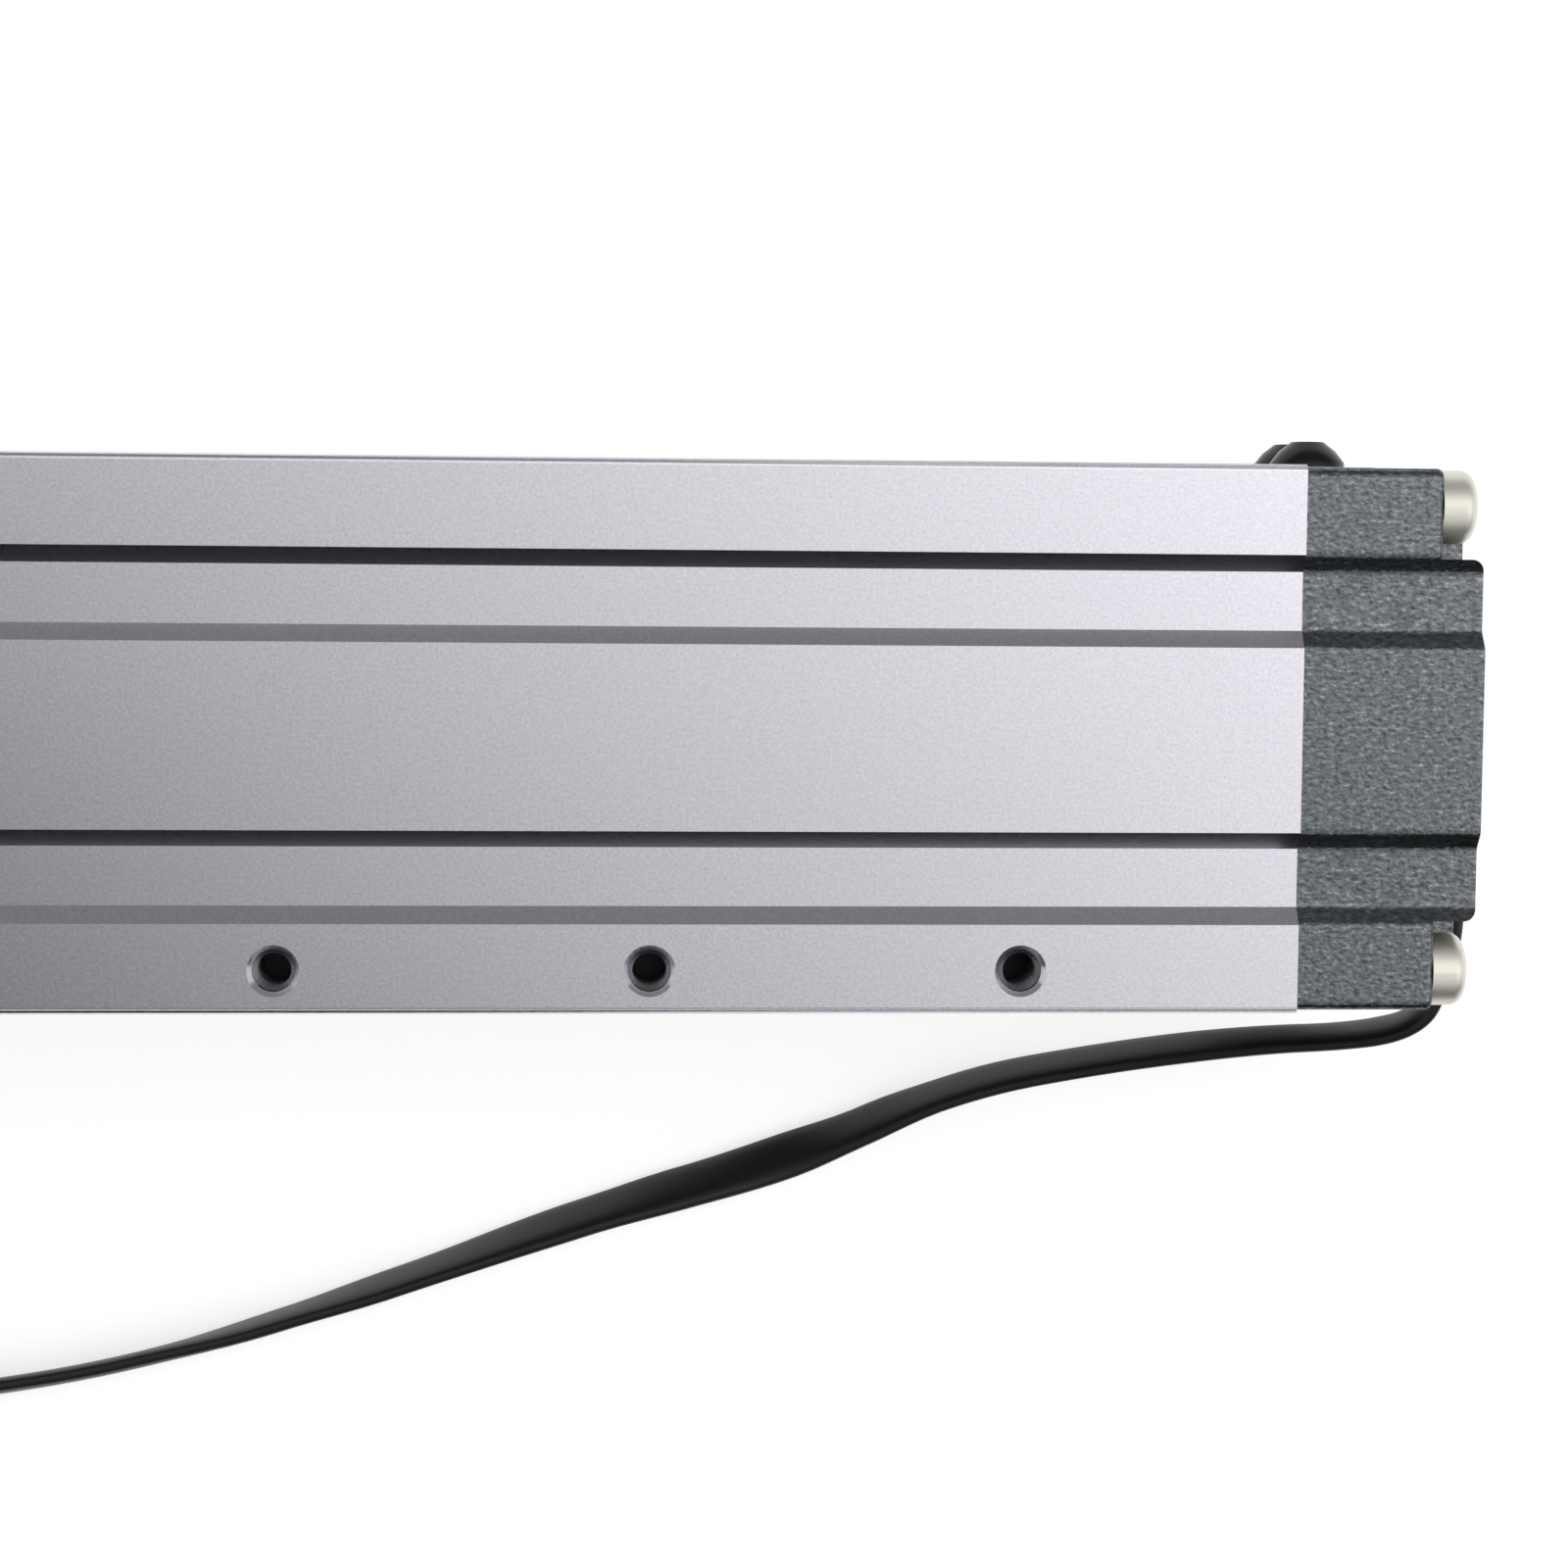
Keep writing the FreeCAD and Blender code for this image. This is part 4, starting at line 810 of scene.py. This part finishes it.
@dataclass
class ModuleBody:
    """The extrusion's tapped holes and the sockets of the screws on the outside."""

    hole_pitch: float = 35.0 * MM
    hole_count: int = 10
    hole_y: float = -21.9 * MM
    hole_top: float = 63.58 * MM
    hole_depth: float = 7.2 * MM
    base_y: float = -26.0 * MM
    base_span: tuple[float, float] = (240.0 * MM, 36.0 * MM)
    base_depth: float = 3.6 * MM
    cover_screw_x: float = 190.35 * MM
    cover_screw_gap: float = 8.0 * MM
    cover_screw_top: float = 29.1 * MM
    base_screw_x: tuple[float, float] = (139.5 * MM, -177.0 * MM)
    base_screw_gap: float = 44.0 * MM
    base_sockets: HexSockets = HexSockets(across=2.0 * MM, depth=1.1 * MM)

    def build(self, nodes: dict[str, bpy.types.Object]) -> None:
        """Adds the threads and sockets.

        Args:
            nodes: The frame's CAD nodes.
        """
        first = -(self.hole_count - 1) / 2 * self.hole_pitch
        mouths = [Vector((first + i * self.hole_pitch, self.hole_y, self.hole_top))
                  for i in range(self.hole_count)]
        # The side holes' ridges are cut thread metal, darkened as painted shade.
        HoleThreads().build("side_hole_threads", nodes["body_extrusion"], mouths, INTO_SIDE, self.hole_depth,
                            Body.FRAME, "anodised", THREAD_PAINTED_SHADE)
        length, width = self.base_span
        mouths = [Vector((a * length / 2, self.base_y, AXIS_HEIGHT + b * width / 2)) for a, b in CORNERS]
        # The base holes' ridges take the near-black painted shade.
        HoleThreads().build("base_hole_threads", nodes["body_extrusion"], mouths, INTO_BASE, self.base_depth,
                            Body.FRAME, "anodised", BORE_PAINTED_SHADE)
        x, y, half = self.cover_screw_x, self.cover_screw_top, self.cover_screw_gap / 2
        tops = [Vector((a * x, y, AXIS_HEIGHT + b * half)) for a, b in CORNERS]
        HexSockets().cut(nodes["cover_screws"], tops, INTO_TOP)
        half = self.base_screw_gap / 2
        for name, x in zip(("mount_screws", "block_screws"), self.base_screw_x):
            tops = [Vector((x, self.base_y, AXIS_HEIGHT + b * half)) for b in (-1, 1)]
            self.base_sockets.cut(nodes[name], tops, INTO_BASE)


@dataclass
class Carriage:
    """The carriage's load plate: its threaded holes and screw sockets."""

    x: float = -18.0 * MM
    plate_top: float = 35.0 * MM
    hole_span: float = 40.0 * MM
    hole_depth: float = 7.4 * MM
    screw_top: float = 34.0 * MM
    screw_span: tuple[float, float] = (26.0 * MM, 34.5 * MM)
    sockets: HexSockets = HexSockets(depth=1.8 * MM)

    def build(self, nodes: dict[str, bpy.types.Object]) -> None:
        """Adds the threads and sockets.

        Args:
            nodes: The frame's CAD nodes.
        """
        half = self.hole_span / 2
        mouths = [Vector((self.x + a * half, self.plate_top, AXIS_HEIGHT + b * half)) for a, b in CORNERS]
        # The payload holes' ridges take the near-black painted shade.
        HoleThreads().build("payload_hole_threads", nodes["slider_plate"], mouths, INTO_TOP, self.hole_depth,
                            Body.CARRIAGE, "anodised", BORE_PAINTED_SHADE)
        length, width = self.screw_span
        tops = [Vector((self.x + a * length / 2, self.screw_top, AXIS_HEIGHT + b * width / 2))
                for a, b in CORNERS]
        self.sockets.cut(nodes["slider_screws"], tops, INTO_TOP)


@dataclass(frozen=True)
class SideCard:
    """A standing card beside the module, which its slopes mirror."""

    name: str
    y: float
    reach: tuple[float, float]
    span: tuple[float, float]
    level: float


@dataclass
class Studio:
    """The floor, the graded soft light overhead, its side cards and the camera."""

    floor_half: float = 20.0
    card_height: float = 1.1
    card_x: tuple[float, float] = (-1.2, 1.6)
    card_y: tuple[float, float] = (-0.6, 0.5)
    level: float = 0.72
    rise_x: float = 1.35
    rise_y: float = 1.5
    level_limits: tuple[float, float] = (0.12, 1.7)
    side_cards: tuple[SideCard, ...] = (
        SideCard("dark_card", y=-0.3, reach=(-0.7, 0.8), span=(0.0, 0.26), level=0.0),
        SideCard("grey_card", y=0.7, reach=(-1.2, 1.6), span=(0.02, 0.75), level=0.26),
    )
    floor_shade: float = 0.9
    room_shade: float = 0.3
    glow: float = 0.62
    eye: tuple[float, float, float] = (116.25 * MM, 17.17 * MM, 355.9 * MM)
    tilt: tuple[float, float, float] = (-4.2, -3.66, 0.22)
    lens: float = 72.0
    sensor: float = 36.0
    nearest: float = 0.01

    def build(self) -> None:
        """Builds the stage."""
        self._floor()
        self._soft_light()
        for card in self.side_cards:
            self._side_card(card)
        self._world()
        self._camera()

    def _panel(self, name: str,
               corners: list[tuple[float, float, float]]) -> tuple[bpy.types.Object, bpy.types.NodeTree]:
        """One flat piece of the stage with an empty material.

        Args:
            name: Its name.
            corners: Its four corners.

        Returns:
            The panel and its material's nodes.
        """
        panel = mesh_object(name, [Vector(corner) for corner in corners], [(0, 1, 2, 3)], smooth=False)
        material = bpy.data.materials.new(name)
        material.use_nodes = True
        material.node_tree.nodes.remove(material.node_tree.nodes["Principled BSDF"])
        panel.data.materials.append(material)
        return panel, material.node_tree

    def _floor(self) -> None:
        """A white floor that also looks white in metal, and keeps the module's shadow."""
        half = self.floor_half
        corners = [(-half, -half, 0), (half, -half, 0), (half, half, 0), (-half, half, 0)]
        _, tree = self._panel("floor", corners)
        diffuse = tree.nodes.new("ShaderNodeBsdfDiffuse")
        diffuse.inputs["Color"].default_value = (*(self.floor_shade,) * 3, 1.0)
        glow = tree.nodes.new("ShaderNodeEmission")
        self._link_white(tree, glow)
        total = tree.nodes.new("ShaderNodeAddShader")
        tree.links.new(diffuse.outputs["BSDF"], total.inputs[0])
        tree.links.new(glow.outputs["Emission"], total.inputs[1])
        tree.links.new(total.outputs["Shader"], tree.nodes["Material Output"].inputs["Surface"])

    def _link_white(self, tree: bpy.types.NodeTree, glow: bpy.types.Node) -> None:
        """Lets a surface glow for the camera, for gloss and through glass only.

        Args:
            tree: The nodes.
            glow: The emission node.
        """
        path = tree.nodes.new("ShaderNodeLightPath")
        source = path.outputs["Is Camera Ray"]
        for name in ("Is Glossy Ray", "Is Transmission Ray"):
            both = tree.nodes.new("ShaderNodeMath")
            both.operation = "MAXIMUM"
            tree.links.new(source, both.inputs[0])
            tree.links.new(path.outputs[name], both.inputs[1])
            source = both.outputs["Value"]
        share = tree.nodes.new("ShaderNodeMath")
        share.operation = "MULTIPLY"
        share.inputs[1].default_value = self.glow
        tree.links.new(source, share.inputs[0])
        tree.links.new(share.outputs["Value"], glow.inputs["Strength"])

    def _soft_light(self) -> None:
        """A wide card of light overhead, brighter towards the cable end and the carriage side."""
        (left, right), (near, far), z = self.card_x, self.card_y, self.card_height
        corners = [(left, near, z), (left, far, z), (right, far, z), (right, near, z)]
        panel, tree = self._panel("soft_light", corners)
        panel.visible_camera = False
        kept = tree.nodes.new("ShaderNodeClamp")
        kept.inputs["Min"].default_value, kept.inputs["Max"].default_value = self.level_limits
        tree.links.new(self._graded(tree), kept.inputs["Value"])
        tree.links.new(kept.outputs["Result"], self._emission(tree).inputs["Strength"])

    def _graded(self, tree: bpy.types.NodeTree) -> bpy.types.NodeSocket:
        """A brightness that rises along X and Y.

        Args:
            tree: The nodes.

        Returns:
            The brightness.
        """
        place = tree.nodes.new("ShaderNodeTexCoord")
        split = tree.nodes.new("ShaderNodeSeparateXYZ")
        tree.links.new(place.outputs["Object"], split.inputs["Vector"])
        slopes: list[bpy.types.Node] = []
        for axis, rise in (("X", self.rise_x), ("Y", self.rise_y)):
            slope = tree.nodes.new("ShaderNodeMath")
            slope.operation = "MULTIPLY_ADD"
            slope.inputs[1].default_value = rise
            tree.links.new(split.outputs[axis], slope.inputs[0])
            slopes.append(slope)
        along, across = slopes
        along.inputs[2].default_value = self.level
        tree.links.new(along.outputs["Value"], across.inputs[2])
        return across.outputs["Value"]

    def _emission(self, tree: bpy.types.NodeTree) -> bpy.types.Node:
        """Makes a panel glow.

        Args:
            tree: The panel's nodes.

        Returns:
            The node whose strength is the panel's brightness.
        """
        glow = tree.nodes.new("ShaderNodeEmission")
        tree.links.new(glow.outputs["Emission"], tree.nodes["Material Output"].inputs["Surface"])
        return glow

    def _side_card(self, card: SideCard) -> None:
        """Stands a card up where only mirrors see it.

        Args:
            card: Its place and brightness.
        """
        (left, right), (low, high), y = card.reach, card.span, card.y
        corners = [(left, y, low), (right, y, low), (right, y, high), (left, y, high)]
        panel, tree = self._panel(card.name, corners)
        panel.visible_camera = False
        panel.visible_diffuse = False
        panel.visible_shadow = False
        self._emission(tree).inputs["Strength"].default_value = card.level

    def _world(self) -> None:
        """A pale room that looks white behind the module."""
        world = bpy.data.worlds.new("room")
        bpy.context.scene.world = world
        world.use_nodes = True
        tree = world.node_tree
        base = tree.nodes["Background"]
        base.inputs["Color"].default_value = (*(self.room_shade,) * 3, 1.0)
        white = tree.nodes.new("ShaderNodeBackground")
        self._link_white(tree, white)
        total = tree.nodes.new("ShaderNodeAddShader")
        tree.links.new(base.outputs["Background"], total.inputs[0])
        tree.links.new(white.outputs["Background"], total.inputs[1])
        tree.links.new(total.outputs["Shader"], tree.nodes["World Output"].inputs["Surface"])

    def _camera(self) -> None:
        """The camera above the cable end of the module."""
        data = bpy.data.cameras.new("camera")
        data.sensor_width = self.sensor
        data.lens = self.lens
        data.clip_start = self.nearest
        camera = bpy.data.objects.new("camera", data)
        bpy.context.scene.collection.objects.link(camera)
        turns = [Matrix.Rotation(math.radians(angle), 4, axis) for angle, axis in zip(self.tilt, "XYZ")]
        camera.matrix_world = Matrix.Translation(self.eye) @ turns[0] @ turns[1] @ turns[2]
        bpy.context.scene.camera = camera
        bpy.context.scene.view_settings.view_transform = "Standard"


def dress_nodes(nodes: dict[str, bpy.types.Object]) -> None:
    """Puts its finish on every CAD node.

    Args:
        nodes: The frame's CAD nodes.
    """
    for finish, names in NODE_FINISHES.items():
        finish.dress(*(nodes[name] for name in names))
        LOG.info("dressed %s in %s", ", ".join(names), finish.name)


def main() -> None:
    """Builds the looks round the frame."""
    logging.basicConfig(level=logging.INFO, format="%(name)s: %(message)s")
    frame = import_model()
    nodes = frame["nodes"]
    dress_nodes(nodes)
    FlatCable().build(CableEnd().build())
    ThreadedScrew().build()
    ModuleBody().build(nodes)
    Carriage().build(nodes)
    Studio().build()


if __name__ == "__main__":
    main()
